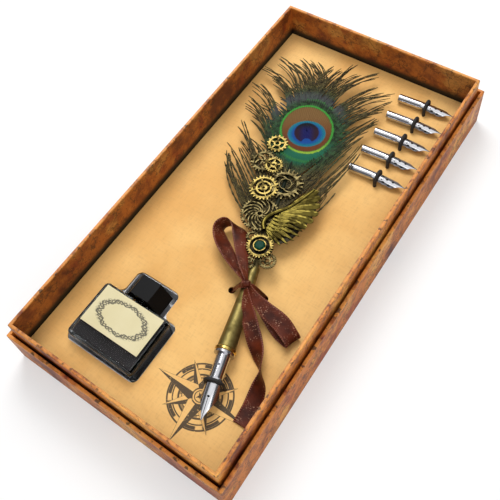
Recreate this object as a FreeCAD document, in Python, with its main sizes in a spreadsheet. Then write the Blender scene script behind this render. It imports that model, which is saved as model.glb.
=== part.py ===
import FreeCAD, Part
import math
import os
import types

import Sketcher
from FreeCAD import Placement, Rotation, Vector

# Driving dimensions in millimetres and degrees
drivers = {
    # board box: a lift-off lid turned over under the tray
    "board": 2.0,
    "lid_height": 30.0,
    "lid_gap": 1.5,
    "rim_over_card": 24.5,
    "rim_round": 0.6,
    # card insert and its clear blister
    "card_thickness": 1.2,
    "card_gap": 0.5,
    "die_round_share": 0.37,
    "blister_thickness": 0.35,
    "blister_fit": 0.3,
    "blister_flange": 4.0,
    # clearances: lying pieces, glued or seated pieces, running fits
    "rest_gap": 0.3,
    "seat_gap": 0.05,
    "running_gap": 0.06,
    # margins between the contents and the edges of the card
    "tip_margin": 18.0,
    "feather_margin": 15.5,
    "left_margin": 6.0,
    "right_margin": 2.5,
    "bottle_side_margin": 16.6,
    "bottle_foot_margin": 14.0,
    # ink bottle, lying on its back
    "bottle_width": 48.0,
    "bottle_height": 37.0,
    "bottle_thickness": 19.0,
    "bottle_corner": 3.0,
    "glass": 2.4,
    "die_side_clear": 2.2,
    "die_end_clear": 1.5,
    "label_width": 42.0,
    "label_height": 25.0,
    "label_drop": 2.0,
    "label_paper": 0.15,
    "neck_radius": 8.0,
    "neck_wall": 2.2,
    "cap_seat": 1.2,
    "cap_corner_radius": 12.8,
    "cap_length": 13.0,
    "cap_top": 2.0,
    "cap_liner_thickness": 1.0,
    "thread_gap": 0.3,
    "bay_side_clear": 2.7,
    "bay_end_clear": 4.2,
    # pen: barrel, collar, nib and quill
    "pen_angle": 16.4,
    "barrel_length": 53.6,
    "barrel_radius": 5.3,
    "barrel_wall": 0.95,
    "spigot_radius": 4.6,
    "collar_radius": 6.15,
    "collar_length": 2.6,
    "collar_bevel": 0.7,
    "washer_radius": 5.9,
    "washer_length": 1.3,
    "socket_radius": 3.3,
    "socket_depth": 13.0,
    "quill_radius": 2.0,
    "quill_depth": 15.0,
    "quill_straight": 20.0,
    "quill_tip_radius": 0.45,
    "quill_length": 138.0,
    "pen_tube_radius": 4.0,
    "pen_tube_out": 15.2,
    "pen_tube_wall": 0.55,
    "pen_blade_length": 23.0,
    "pen_pinhole_radius": 0.5,
    "pen_pinhole_at": 8.0,
    # spare nibs in a column at the right of the card
    "spare_tube_radius": 2.9,
    "spare_tube_length": 15.6,
    "spare_tube_wall": 0.45,
    "spare_groove_length": 1.4,
    "spare_groove_depth": 0.3,
    "spare_blade_length": 20.4,
    "spare_turn": 94.0,
    "spare_pitch": 16.4,
    "spare_top_margin": 19.0,
    "spare_tip_margin": 4.0,
    # elastic loops
    "elastic_radius": 0.9,
    "elastic_slack": 0.4,
    "elastic_tuck": 2.5,
    "elastic_knot_radius": 1.7,
    "elastic_hole_clear": 0.2,
    "spare_elastic_at": 19.2,
    "pen_elastic_at": 17.4,
    # feather
    "vane_start": 30.0,
    "vane_reach": 169.0,
    "vane_half_width": 47.0,
    "vane_thickness": 1.2,
    "vane_lift": 0.55,
    "vane_axis_at": 100.0,
    "vane_lean": 6.0,
    # charms glued on the quill
    "charm_radius": 12.0,
    "gear_thickness": 1.0,
    "tooth_depth": 1.1,
    "wing_at": 22.4,
    "wing_reach": 42.5,
    "wing_thickness": 1.3,
    "gem_radius": 3.2,
    "gem_height": 2.0,
    "bezel_wall": 0.8,
    "bezel_height": 1.4,
    # satin ribbon
    "ribbon_thickness": 0.5,
    "ribbon_width": 10.0,
    "strap_thickness": 0.8,
    "strap_width": 3.2,
    "strap_reach": 10.0,
    "strap_hole_radius": 2.2,
    "knot_from_end": 14.1,
    "knot_width": 6.4,
    "knot_length": 6.0,
    "knot_height": 4.0,
    "loop_length": 45.0,
    "loop_radius": 8.5,
    "flat_loop_length": 38.0,
    "tail_reach": 33.2,
}

spare_count = 5

# Charm gears: along the pen from the barrel's end, across it, radius as a share of the largest gear,
# bore as a share of the radius, teeth, windows, and what each one is glued on
gears = {
    "gear_top": (88.9, -12.8, 0.58, 0.23, 15, 5, "vane"),
    "gear_arc": (73.0, -17.0, 0.73, 0.64, 18, 0, "lower"),
    "gear_mid": (71.0, -9.7, 0.52, 0.23, 12, 4, "upper"),
    "gear_large": (59.5, 1.2, 0.96, 0.55, 22, 0, "lower"),
    "gear_target": (52.9, -10.7, 0.78, 0.21, 20, 6, "upper"),
    "gear_swirl": (34.8, -7.7, 1.0, 0.18, 28, 7, "lower"),
    "gear_ring": (18.0, -7.0, 0.33, 0.5, 12, 0, "barrel"),
    "gear_lower": (4.8, 6.5, 0.45, 0.44, 24, 0, "barrel"),
    "gear_filigree": (1.0, -3.6, 0.33, 0.3, 10, 4, "barrel"),
    "gear_gem": (12.1, -0.3, 0.68, 0.17, 22, 0, "top"),
}


class Size:
    def __init__(self, text, number):
        self.text = text
        self.number = number

    def __add__(self, other):
        return Size(f"({self.text} + {text_of(other)})", self.number + number_of(other))

    def __radd__(self, other):
        return Size(f"({text_of(other)} + {self.text})", number_of(other) + self.number)

    def __sub__(self, other):
        return Size(f"({self.text} - {text_of(other)})", self.number - number_of(other))

    def __rsub__(self, other):
        return Size(f"({text_of(other)} - {self.text})", number_of(other) - self.number)

    def __mul__(self, other):
        return Size(f"({self.text} * {text_of(other)})", self.number * number_of(other))

    __rmul__ = __mul__

    def __truediv__(self, other):
        return Size(f"({self.text} / {text_of(other)})", self.number / number_of(other))

    def __neg__(self):
        return Size(f"(0 - {self.text})", -self.number)


def text_of(size):
    return size.text if isinstance(size, Size) else repr(size)


def number_of(size):
    return size.number if isinstance(size, Size) else size


def cosine(angle):
    return Size(f"cos({angle.text})", math.cos(math.radians(angle.number)))


def sine(angle):
    return Size(f"sin({angle.text})", math.sin(math.radians(angle.number)))


def make_sheet(values):
    sheet = doc.addObject("Spreadsheet::Sheet", "Sizes")
    for row, (alias, number) in enumerate(values.items(), 1):
        sheet.set(f"A{row}", alias)
        sheet.set(f"B{row}", str(number))
        sheet.setAlias(f"B{row}", alias)
    doc.recompute()
    named = {}
    for alias in values:
        named[alias] = Size(f"Sizes.{alias}", float(getattr(sheet, alias)))
    return types.SimpleNamespace(**named)


def bind(target, path, size):
    target.setExpression(path, text_of(size))


pieces = {}


def register(label, thing):
    thing.Label = label
    pieces[label] = thing
    return thing


def place(thing, x, y, z, turn=None):
    if turn is not None:
        thing.Placement = Placement(Vector(), Rotation(Vector(0, 0, 1), number_of(turn)))
        bind(thing, "Placement.Rotation.Angle", turn)
    for axis, size in zip("xyz", (x, y, z)):
        bind(thing, f"Placement.Base.{axis}", size)


def new_body(label):
    return register(label, doc.addObject("PartDesign::Body", label + "_body"))


def new_sketch(body, name, height=None):
    sketch = body.newObject("Sketcher::SketchObject", name)
    plane = next(item for item in body.Origin.OriginFeatures if item.Role == "XY_Plane")
    sketch.AttachmentSupport = [(plane, "")]
    sketch.MapMode = "FlatFace"
    if height is not None:
        bind(sketch, "AttachmentOffset.Base.z", height)
    return sketch


def pin(sketch, geometry, end, x, y):
    for kind, size, axis in (("DistanceX", x, -2), ("DistanceY", y, -1)):
        if number_of(size) == 0:
            sketch.addConstraint(Sketcher.Constraint("PointOnObject", geometry, end, axis))
            continue
        index = sketch.addConstraint(Sketcher.Constraint(kind, -1, 1, geometry, end, number_of(size)))
        bind(sketch, f"Constraints[{index}]", size)


def outline(sketch, points):
    first = sketch.GeometryCount
    count = len(points)
    corners = [Vector(number_of(x), number_of(y), 0) for x, y in points]
    for start, end in zip(corners, corners[1:] + corners[:1]):
        sketch.addGeometry(Part.LineSegment(start, end), False)
    for index in range(count):
        following = first + (index + 1) % count
        sketch.addConstraint(Sketcher.Constraint("Coincident", first + index, 2, following, 1))
    for index, (x, y) in enumerate(points):
        pin(sketch, first + index, 1, x, y)


def rectangle(sketch, low_x, low_y, high_x, high_y):
    outline(sketch, [(low_x, low_y), (high_x, low_y), (high_x, high_y), (low_x, high_y)])


def circle(sketch, x, y, radius):
    centre = Vector(number_of(x), number_of(y), 0)
    index = sketch.addGeometry(Part.Circle(centre, Vector(0, 0, 1), number_of(radius)), False)
    pin(sketch, index, 3, x, y)
    constraint = sketch.addConstraint(Sketcher.Constraint("Radius", index, number_of(radius)))
    bind(sketch, f"Constraints[{constraint}]", radius)


def extrude(body, kind, sketch, length, upwards):
    feature = body.newObject(f"PartDesign::{kind}", sketch.Name + "_" + kind)
    feature.Profile = sketch
    feature.Reversed = upwards if kind == "Pocket" else not upwards
    bind(feature, "Length", length)
    return feature


def pad(body, sketch, length):
    return extrude(body, "Pad", sketch, length, True)


def pocket_up(body, sketch, length):
    return extrude(body, "Pocket", sketch, length, True)


def pocket_down(body, sketch, length):
    return extrude(body, "Pocket", sketch, length, False)


def revolve(body, points, angle=360, reversed_turn=False):
    sketch = new_sketch(body, body.Name + "_profile")
    outline(sketch, points)
    feature = body.newObject("PartDesign::Revolution", body.Name + "_turned")
    feature.Profile = sketch
    feature.ReferenceAxis = (sketch, ["V_Axis"])
    feature.Angle = angle
    feature.Reversed = reversed_turn
    return feature


def polar(body, feature, sketch, count):
    pattern = body.newObject("PartDesign::PolarPattern", feature.Name + "_ring")
    pattern.Originals = [feature]
    pattern.Axis = (sketch, ["N_Axis"])
    pattern.Angle = 360
    pattern.Occurrences = round(count)
    body.Tip = pattern
    return pattern


def primitive(kind, name, **sizes_of):
    thing = doc.addObject(f"Part::{kind}", name)
    for path, size in sizes_of.items():
        bind(thing, path, size)
    return thing


def round_edges(body, base, radius, wanted):
    doc.recompute()
    names = []
    for index, edge in enumerate(base.Shape.Edges, 1):
        if wanted(edge):
            names.append(f"Edge{index}")
    fillet = body.newObject("PartDesign::Fillet", base.Name + "_round")
    fillet.Base = (base, names)
    bind(fillet, "Radius", radius)
    return fillet


def is_upright(edge):
    ends = [vertex.Point for vertex in edge.Vertexes]
    return len(ends) == 2 and (ends[0] - ends[1]).cross(Vector(0, 0, 1)).Length < 1e-6


doc = FreeCAD.newDocument("quill_gift_box")
sizes = make_sheet(drivers)

# Card and box sizes follow from the pen, the bottle and the margins
knot_at = sizes.barrel_length - sizes.knot_from_end
pen_cos = cosine(sizes.pen_angle)
pen_sin = sine(sizes.pen_angle)
pen_blade_end = sizes.pen_tube_out + sizes.pen_blade_length
card_length = (
    sizes.tip_margin
    + (pen_blade_end + sizes.barrel_length + sizes.vane_reach) * pen_cos
    + sizes.feather_margin
)
mouth_from_feather = (sizes.barrel_length + sizes.vane_axis_at) * pen_sin
feather_half_span = sizes.vane_half_width + sizes.vane_lean
card_width = (
    sizes.left_margin
    + feather_half_span
    + mouth_from_feather
    + sizes.tail_reach
    + sizes.right_margin
)
tray_inner_width = card_width + 2 * sizes.card_gap
tray_inner_length = card_length + 2 * sizes.card_gap
tray_width = tray_inner_width + 2 * sizes.board
tray_length = tray_inner_length + 2 * sizes.board
lid_width = tray_width + 2 * (sizes.lid_gap + sizes.board)
lid_length = tray_length + 2 * (sizes.lid_gap + sizes.board)
floor_top = 2 * sizes.board
blister_floor = floor_top + sizes.seat_gap
card_top = blister_floor + sizes.blister_thickness + sizes.rest_gap + sizes.cap_corner_radius
card_under = card_top - sizes.card_thickness
rim_top = card_top + sizes.rim_over_card
card_left = -card_width / 2
card_right = card_width / 2
card_foot = -card_length / 2
card_head = card_length / 2


def tray_body(label, width, length, height, base):
    body = new_body(label)
    block = new_sketch(body, label + "_plan")
    rectangle(block, -width / 2, -length / 2, width / 2, length / 2)
    pad(body, block, height)
    inside = new_sketch(body, label + "_inside", height)
    half_width = width / 2 - sizes.board
    half_length = length / 2 - sizes.board
    rectangle(inside, -half_width, -half_length, half_width, half_length)
    hollow = pocket_down(body, inside, height - sizes.board)
    rim = number_of(height)
    round_edges(
        body, hollow, sizes.rim_round, lambda edge: edge.BoundBox.ZMin > rim - 1e-6 or is_upright(edge)
        and abs(edge.CenterOfMass.x) > number_of(half_width) + 1e-3
    )
    place(body, 0, 0, base)


tray_body("lid", lid_width, lid_length, sizes.lid_height, 0)
tray_body("tray", tray_width, tray_length, rim_top - sizes.board, sizes.board)

# Bottle position: the die-cut hole stands at its margins from the card's corner
bottle_x = card_left + sizes.bottle_side_margin + sizes.die_side_clear + sizes.bottle_width / 2
hole_foot = card_foot + sizes.bottle_foot_margin
bottle_foot = hole_foot + sizes.die_end_clear
bottle_head = bottle_foot + sizes.bottle_height
cap_foot = bottle_head + sizes.cap_seat
cap_head = cap_foot + sizes.cap_length
hole_half = sizes.bottle_width / 2 + sizes.die_side_clear
hole_shoulder = bottle_head + sizes.die_end_clear
bay_half = sizes.cap_corner_radius + sizes.bay_side_clear
bay_head = cap_head + sizes.bay_end_clear


def bottle_hole(grow):
    body_side = hole_half + grow
    bay_side = bay_half + grow
    low = hole_foot - grow
    shoulder = hole_shoulder + grow
    high = bay_head + grow
    return [
        (bottle_x - body_side, low),
        (bottle_x + body_side, low),
        (bottle_x + body_side, shoulder),
        (bottle_x + bay_side, shoulder),
        (bottle_x + bay_side, high),
        (bottle_x - bay_side, high),
        (bottle_x - bay_side, shoulder),
        (bottle_x - body_side, shoulder),
    ]


# Pen frame: origin on the barrel's mouth, +Y along the barrel, +X to the right
pen_axis_height = sizes.collar_radius + sizes.rest_gap
pen_z = card_top + pen_axis_height
mouth_x = card_right - sizes.right_margin - sizes.tail_reach
mouth_y = card_foot + sizes.tip_margin + pen_blade_end * pen_cos
spare_axis_height = sizes.spare_tube_radius + sizes.rest_gap
spare_length = sizes.spare_tube_length + sizes.spare_groove_length + sizes.spare_blade_length
spare_cos = cosine(sizes.spare_turn)
spare_sin = sine(sizes.spare_turn)


def pen_point(across, along):
    x = mouth_x + across * pen_cos - along * pen_sin
    y = mouth_y + across * pen_sin + along * pen_cos
    return x, y


def place_on_pen(thing, across=0, along=0, up=0):
    x, y = pen_point(across, along)
    place(thing, x, y, pen_z + up, sizes.pen_angle)


def spare_origin(index):
    x = card_right - sizes.spare_tip_margin - spare_length * spare_sin
    y = card_head - sizes.spare_top_margin - index * sizes.spare_pitch
    return x, y


def spare_point(index, across, along):
    x, y = spare_origin(index)
    return x + across * spare_cos - along * spare_sin, y + across * spare_sin + along * spare_cos


spare_arch = sizes.spare_tube_radius + sizes.elastic_slack + sizes.elastic_radius
pen_arch = sizes.pen_tube_radius + sizes.elastic_slack + sizes.elastic_radius
strap_sides = (-sizes.strap_reach, sizes.strap_reach)


def make_card():
    body = new_body("insert_card")
    plan = new_sketch(body, "card_plan", floor_top)
    rectangle(plan, card_left, card_foot, card_right, card_head)
    pad(body, plan, card_top - floor_top)
    under = new_sketch(body, "card_folds", floor_top)
    edge = sizes.card_thickness
    rectangle(under, card_left + edge, card_foot + edge, card_right - edge, card_head - edge)
    pocket_up(body, under, card_under - floor_top)
    holes = new_sketch(body, "card_die_cut", card_top)
    outline(holes, bottle_hole(0))
    elastic_hole = sizes.elastic_radius + sizes.elastic_hole_clear
    for index in range(spare_count):
        for side in (-spare_arch, spare_arch):
            x, y = spare_point(index, side, -sizes.spare_elastic_at)
            circle(holes, x, y, elastic_hole)
    for side in (-pen_arch, pen_arch):
        x, y = pen_point(side, -sizes.pen_elastic_at)
        circle(holes, x, y, elastic_hole)
    for side in strap_sides:
        x, y = pen_point(side, knot_at)
        circle(holes, x, y, sizes.strap_hole_radius)
    cut = pocket_down(body, holes, sizes.card_thickness * 2)
    corners = [Vector(number_of(x), number_of(y), 0) for x, y in bottle_hole(0)]

    def on_die_corner(edge):
        flat = Vector(edge.CenterOfMass.x, edge.CenterOfMass.y, 0)
        return is_upright(edge) and min((flat - corner).Length for corner in corners) < 1e-4

    round_edges(body, cut, sizes.die_round_share * (hole_half - bay_half), on_die_corner)


def make_blister():
    body = new_body("bottle_blister")
    wall = sizes.blister_thickness
    flange_low = card_under - wall
    flange = new_sketch(body, "blister_flange_plan", flange_low)
    outline(flange, bottle_hole(sizes.blister_flange))
    pad(body, flange, wall)
    block = new_sketch(body, "blister_block", blister_floor)
    outline(block, bottle_hole(-sizes.blister_fit))
    pad(body, block, card_under - blister_floor)
    inset = sizes.blister_fit + wall
    shelf_top = card_top - sizes.bottle_thickness / 2 - sizes.rest_gap
    step = cap_foot - 2 * sizes.rest_gap
    bay = new_sketch(body, "blister_bay", card_under)
    bay_inner = bay_half - inset
    rectangle(bay, bottle_x - bay_inner, step, bottle_x + bay_inner, bay_head - inset)
    pocket_down(body, bay, card_under - blister_floor - wall)
    well = new_sketch(body, "blister_well", card_under)
    well_inner = hole_half - inset
    rectangle(
        well, bottle_x - well_inner, hole_foot + inset, bottle_x + well_inner, hole_shoulder - inset
    )
    pocket_down(body, well, card_under - shelf_top)
    below = new_sketch(body, "blister_below", blister_floor)
    rectangle(below, bottle_x - hole_half, hole_foot, bottle_x + hole_half, step - wall)
    pocket_up(body, below, shelf_top - wall - blister_floor)
    place(body, 0, 0, 0)


def along_y(thing, x, y, z):
    thing.Placement = Placement(Vector(), Rotation(Vector(1, 0, 0), -90))
    place(thing, x, y, z)


def make_bottle():
    body = new_body("ink_bottle")
    block = body.newObject("PartDesign::AdditiveBox", "bottle_block")
    half = sizes.bottle_width / 2
    bind(block, "Length", sizes.bottle_width)
    bind(block, "Width", sizes.bottle_height)
    bind(block, "Height", sizes.bottle_thickness)
    place(block, -half, 0, -sizes.bottle_thickness / 2)
    rounded = body.newObject("PartDesign::Fillet", "bottle_round")
    rounded.Base = (block, [f"Edge{index}" for index in range(1, 13)])
    bind(rounded, "Radius", sizes.bottle_corner)
    bore_depth = sizes.cap_length - sizes.cap_top
    neck_rise = sizes.cap_seat + bore_depth - sizes.cap_liner_thickness - 2 * sizes.seat_gap
    root = sizes.glass
    neck = body.newObject("PartDesign::AdditiveCylinder", "bottle_neck")
    bind(neck, "Radius", sizes.neck_radius)
    bind(neck, "Height", neck_rise + root)
    along_y(neck, 0, sizes.bottle_height - root, 0)
    cavity = body.newObject("PartDesign::SubtractiveBox", "bottle_cavity")
    bind(cavity, "Length", sizes.bottle_width - 2 * sizes.glass)
    bind(cavity, "Width", sizes.bottle_height - 2 * sizes.glass)
    bind(cavity, "Height", sizes.bottle_thickness - 2 * sizes.glass)
    place(cavity, sizes.glass - half, sizes.glass, sizes.glass - sizes.bottle_thickness / 2)
    bore = body.newObject("PartDesign::SubtractiveCylinder", "bottle_bore")
    bind(bore, "Radius", sizes.neck_radius - sizes.neck_wall)
    bind(bore, "Height", neck_rise + 2 * root)
    along_y(bore, 0, sizes.bottle_height - 2 * root, 0)
    place(body, bottle_x, bottle_foot, card_top)

    inset = sizes.glass + sizes.seat_gap
    ink = primitive(
        "Box", "ink_fill",
        Length=sizes.bottle_width - 2 * inset,
        Width=sizes.bottle_height - 2 * inset,
        Height=sizes.bottle_thickness - 2 * inset,
    )
    place(ink, bottle_x - half + inset, bottle_foot + inset, card_top - sizes.bottle_thickness / 2 + inset)
    register("ink", ink)

    label = primitive(
        "Box", "label_sheet", Length=sizes.label_width, Width=sizes.label_height, Height=sizes.label_paper
    )
    label_y = bottle_head - sizes.label_drop - sizes.label_height
    place(label, bottle_x - sizes.label_width / 2, label_y, card_top + sizes.bottle_thickness / 2)
    register("bottle_label", label)


def make_cap():
    body = new_body("bottle_cap")
    plan = new_sketch(body, "cap_plan")
    radius = sizes.cap_corner_radius
    apothem = radius * math.sqrt(3) / 2
    outline(plan, [
        (radius, 0), (radius / 2, apothem), (-radius / 2, apothem),
        (-radius, 0), (-radius / 2, -apothem), (radius / 2, -apothem),
    ])
    pad(body, plan, sizes.cap_length)
    bore = new_sketch(body, "cap_bore")
    bore_radius = sizes.neck_radius + sizes.thread_gap
    circle(bore, 0, 0, bore_radius)
    bore_depth = sizes.cap_length - sizes.cap_top
    pocket_up(body, bore, bore_depth)
    along_y(body, bottle_x, cap_foot, card_top)

    liner = primitive(
        "Cylinder", "liner_disc", Radius=bore_radius - sizes.seat_gap, Height=sizes.cap_liner_thickness
    )
    liner_foot = cap_foot + bore_depth - sizes.seat_gap - sizes.cap_liner_thickness
    along_y(liner, bottle_x, liner_foot, card_top)
    register("cap_liner", liner)


def turned_piece(label, points):
    body = new_body(label)
    revolve(body, points)
    place_on_pen(body)
    return body


barrel_top_radius = sizes.quill_radius + sizes.running_gap + sizes.barrel_wall


def make_pen_core():
    socket = sizes.socket_radius + sizes.running_gap
    quill_bore = sizes.quill_radius + sizes.running_gap
    quill_seat = sizes.barrel_length - sizes.quill_depth
    turned_piece("pen_barrel", [
        (socket, 0),
        (sizes.spigot_radius, 0),
        (sizes.spigot_radius, sizes.collar_length),
        (sizes.barrel_radius, sizes.collar_length),
        (barrel_top_radius, sizes.barrel_length),
        (quill_bore, sizes.barrel_length),
        (quill_bore, quill_seat),
        (0, quill_seat),
        (0, sizes.socket_depth),
        (socket, sizes.socket_depth),
    ])
    bevel = sizes.collar_bevel
    bore = sizes.spigot_radius + sizes.seat_gap
    turned_piece("barrel_collar", [
        (bore, 0),
        (sizes.collar_radius - bevel, 0),
        (sizes.collar_radius, bevel),
        (sizes.collar_radius, sizes.collar_length - bevel),
        (sizes.collar_radius - bevel, sizes.collar_length),
        (bore, sizes.collar_length),
    ])
    washer_bore = sizes.pen_tube_radius + sizes.running_gap
    turned_piece("collar_washer", [
        (washer_bore, -sizes.washer_length),
        (sizes.washer_radius, -sizes.washer_length),
        (sizes.washer_radius, 0),
        (washer_bore, 0),
    ])
    turned_piece("quill_shaft", [
        (0, quill_seat + sizes.seat_gap),
        (sizes.quill_radius, quill_seat + sizes.seat_gap),
        (sizes.quill_radius, sizes.barrel_length + sizes.quill_straight),
        (sizes.quill_tip_radius, sizes.barrel_length + sizes.quill_length),
        (0, sizes.barrel_length + sizes.quill_length),
    ])


def make_blade(label, start, length, radius, wall):
    body = new_body(label)
    tip_radius = 0.74 * radius
    revolve(body, [
        (radius - wall, -start),
        (radius, -start),
        (tip_radius, -(start + length)),
        (tip_radius - wall, -(start + length)),
    ], 180, True)
    slit_half = 0.05 * radius
    shoulder = start + 0.42 * length
    bend = start + 0.72 * length
    beyond = start + 1.1 * length
    wide = 1.5 * radius
    for side in (1, -1):
        trim = new_sketch(body, label + "_trim")
        points = [
            (side * wide, -shoulder),
            (side * 0.92 * radius, -shoulder),
            (side * 0.5 * radius, -bend),
            (side * 2 * slit_half, -(start + length)),
            (side * 2 * slit_half, -beyond),
            (side * wide, -beyond),
        ]
        outline(trim, points if side > 0 else points[::-1])
        pocket_up(body, trim, 2 * radius)
    eye = new_sketch(body, label + "_eye")
    circle(eye, 0, -(start + 0.5 * length), 0.17 * radius)
    pocket_up(body, eye, 2 * radius)
    slit = new_sketch(body, label + "_slit")
    rectangle(slit, -slit_half, -beyond, slit_half, -(start + 0.5 * length))
    pocket_up(body, slit, 2 * radius)
    return body


def make_pen_nib():
    tube = new_body("pen_nib_tube")
    wall = sizes.pen_tube_wall
    shoulder = -sizes.seat_gap
    front = -sizes.pen_tube_out
    step = shoulder - 2 * wall
    plug_end = sizes.socket_depth - 2 * sizes.seat_gap
    revolve(tube, [
        (sizes.socket_radius - wall, plug_end),
        (sizes.socket_radius, plug_end),
        (sizes.socket_radius, shoulder),
        (sizes.pen_tube_radius, shoulder),
        (sizes.pen_tube_radius, front),
        (sizes.pen_tube_radius - wall, front),
        (sizes.pen_tube_radius - wall, step),
        (sizes.socket_radius - wall, step),
    ])
    pinhole = new_sketch(tube, "pen_pinhole")
    circle(pinhole, 0, -sizes.pen_pinhole_at, sizes.pen_pinhole_radius)
    pocket_up(tube, pinhole, 2 * sizes.pen_tube_radius)
    place_on_pen(tube)
    blade = make_blade(
        "pen_nib_blade", sizes.pen_tube_out, sizes.pen_blade_length, sizes.pen_tube_radius, wall
    )
    place_on_pen(blade)


def make_spare_nibs():
    wall = sizes.spare_tube_wall
    radius = sizes.spare_tube_radius
    groove = radius - sizes.spare_groove_depth
    tube_end = sizes.spare_tube_length
    neck_end = tube_end + sizes.spare_groove_length
    for index in range(spare_count):
        x, y = spare_origin(index)
        tube = new_body(f"spare_nib_{index + 1}_tube")
        revolve(tube, [
            (radius - 2 * wall, 0),
            (radius, 0),
            (radius, -tube_end),
            (groove, -tube_end),
            (groove, -neck_end),
            (radius - 2 * wall, -neck_end),
        ])
        place(tube, x, y, card_top + spare_axis_height, sizes.spare_turn)
        blade = make_blade(
            f"spare_nib_{index + 1}_blade", neck_end, sizes.spare_blade_length, radius, wall
        )
        place(blade, x, y, card_top + spare_axis_height, sizes.spare_turn)


def elastic_loop(name, arch, at, axis_height):
    ring = primitive("Torus", name + "_arch", Radius1=arch, Radius2=sizes.elastic_radius, Angle3=180)
    ring.Placement = Placement(Vector(), Rotation(Vector(1, 0, 0), 90))
    place(ring, 0, -at, 0)
    drop = axis_height + sizes.card_thickness + sizes.elastic_tuck
    members = [ring]
    for side in (-arch, arch):
        leg = primitive("Cylinder", name + "_leg", Radius=sizes.elastic_radius, Height=drop)
        place(leg, side, -at, -drop)
        knot = primitive("Sphere", name + "_knot", Radius=sizes.elastic_knot_radius)
        place(knot, side, -at, -drop)
        members += [leg, knot]
    loop = doc.addObject("Part::MultiFuse", name)
    loop.Shapes = members
    return loop


def make_elastics():
    for index in range(spare_count):
        loop = elastic_loop(f"spare_loop_{index + 1}", spare_arch, sizes.spare_elastic_at, spare_axis_height)
        x, y = spare_origin(index)
        place(loop, x, y, card_top + spare_axis_height, sizes.spare_turn)
        register(f"nib_elastic_{index + 1}", loop)
    loop = elastic_loop("pen_loop", pen_arch, sizes.pen_elastic_at, pen_axis_height)
    place_on_pen(loop)
    register("pen_elastic", loop)


# Heights of the charms above the pen's axis
vane_low = 2 * sizes.spare_tube_radius + sizes.rest_gap + sizes.vane_lift - pen_axis_height
vane_layer = vane_low + sizes.vane_thickness + sizes.seat_gap
lower_layer = sizes.quill_radius + sizes.seat_gap
upper_layer = lower_layer + sizes.gear_thickness + sizes.seat_gap
barrel_taper = (sizes.barrel_radius - barrel_top_radius) / (sizes.barrel_length - sizes.collar_length)
filigree_overlap = gears["gear_filigree"][2] * sizes.charm_radius - gears["gear_filigree"][0]
barrel_layer = barrel_top_radius + filigree_overlap * barrel_taper + sizes.seat_gap
top_layer = barrel_layer + sizes.gear_thickness + sizes.seat_gap
layers = {
    "vane": vane_layer,
    "lower": lower_layer,
    "upper": upper_layer,
    "barrel": barrel_layer,
    "top": top_layer,
}


def make_gear(label, along, across, share, bore_share, teeth, windows, layer):
    body = new_body(label)
    radius = share * sizes.charm_radius
    bore = bore_share * radius
    root = radius - sizes.tooth_depth
    disc = new_sketch(body, label + "_disc")
    circle(disc, 0, 0, root)
    circle(disc, 0, 0, bore)
    pad(body, disc, sizes.gear_thickness)
    tooth = new_sketch(body, label + "_tooth")
    foot_half = radius * math.pi * 0.28 / teeth * 2
    tip_half = foot_half * 0.6
    sunk = root - 0.3 * sizes.tooth_depth
    outline(tooth, [(sunk, -foot_half), (radius, -tip_half), (radius, tip_half), (sunk, foot_half)])
    polar(body, pad(body, tooth, sizes.gear_thickness), tooth, teeth)
    if windows:
        inner = bore + 0.35 * (root - bore)
        outer = bore + 0.8 * (root - bore)
        rise = math.sin(0.6 * math.pi / windows)
        run = math.cos(0.6 * math.pi / windows)
        window = new_sketch(body, label + "_window")
        outline(window, [
            (inner * run, -inner * rise),
            (outer * run, -outer * rise),
            (outer * run, outer * rise),
            (inner * run, inner * rise),
        ])
        polar(body, pocket_up(body, window, 2 * sizes.gear_thickness), window, windows)
    place_on_pen(body, across, sizes.barrel_length + along, layers[layer])
    return body


def make_gem():
    along, across, share = gears["gear_gem"][:3]
    radius = share * sizes.charm_radius
    seat = top_layer + sizes.gear_thickness
    ring = doc.getObject("gear_gem_body")
    rim = new_sketch(ring, "gem_rim", sizes.gear_thickness)
    root = radius - sizes.tooth_depth
    circle(rim, 0, 0, root)
    circle(rim, 0, 0, root - 2 * sizes.bezel_wall)
    pad(ring, rim, sizes.bezel_wall)
    bezel = new_body("gem_bezel")
    plan = new_sketch(bezel, "bezel_plan")
    circle(plan, 0, 0, sizes.gem_radius + sizes.bezel_wall)
    circle(plan, 0, 0, sizes.gem_radius + sizes.seat_gap)
    pad(bezel, plan, sizes.bezel_height)
    place_on_pen(bezel, across, sizes.barrel_length + along, seat + sizes.seat_gap)
    gem = new_body("gem")
    girdle = new_sketch(gem, "gem_girdle")
    circle(girdle, 0, 0, sizes.gem_radius)
    stone = pad(gem, girdle, sizes.gem_height)
    dome_start = number_of(sizes.gem_height) - 1e-6
    round_edges(gem, stone, 0.6 * sizes.gem_height, lambda edge: edge.BoundBox.ZMin > dome_start)
    place_on_pen(gem, across, sizes.barrel_length + along, seat + sizes.seat_gap)


def code_on_pen(label, shape):
    thing = doc.addObject("Part::Feature", label + "_shape")
    thing.Shape = shape
    place_on_pen(thing)
    return register(label, thing)


def prism(points, low, height):
    wire = Part.makePolygon([Vector(x, y, low) for x, y in points + points[:1]])
    return Part.Face(wire).extrude(Vector(0, 0, height))


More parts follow.
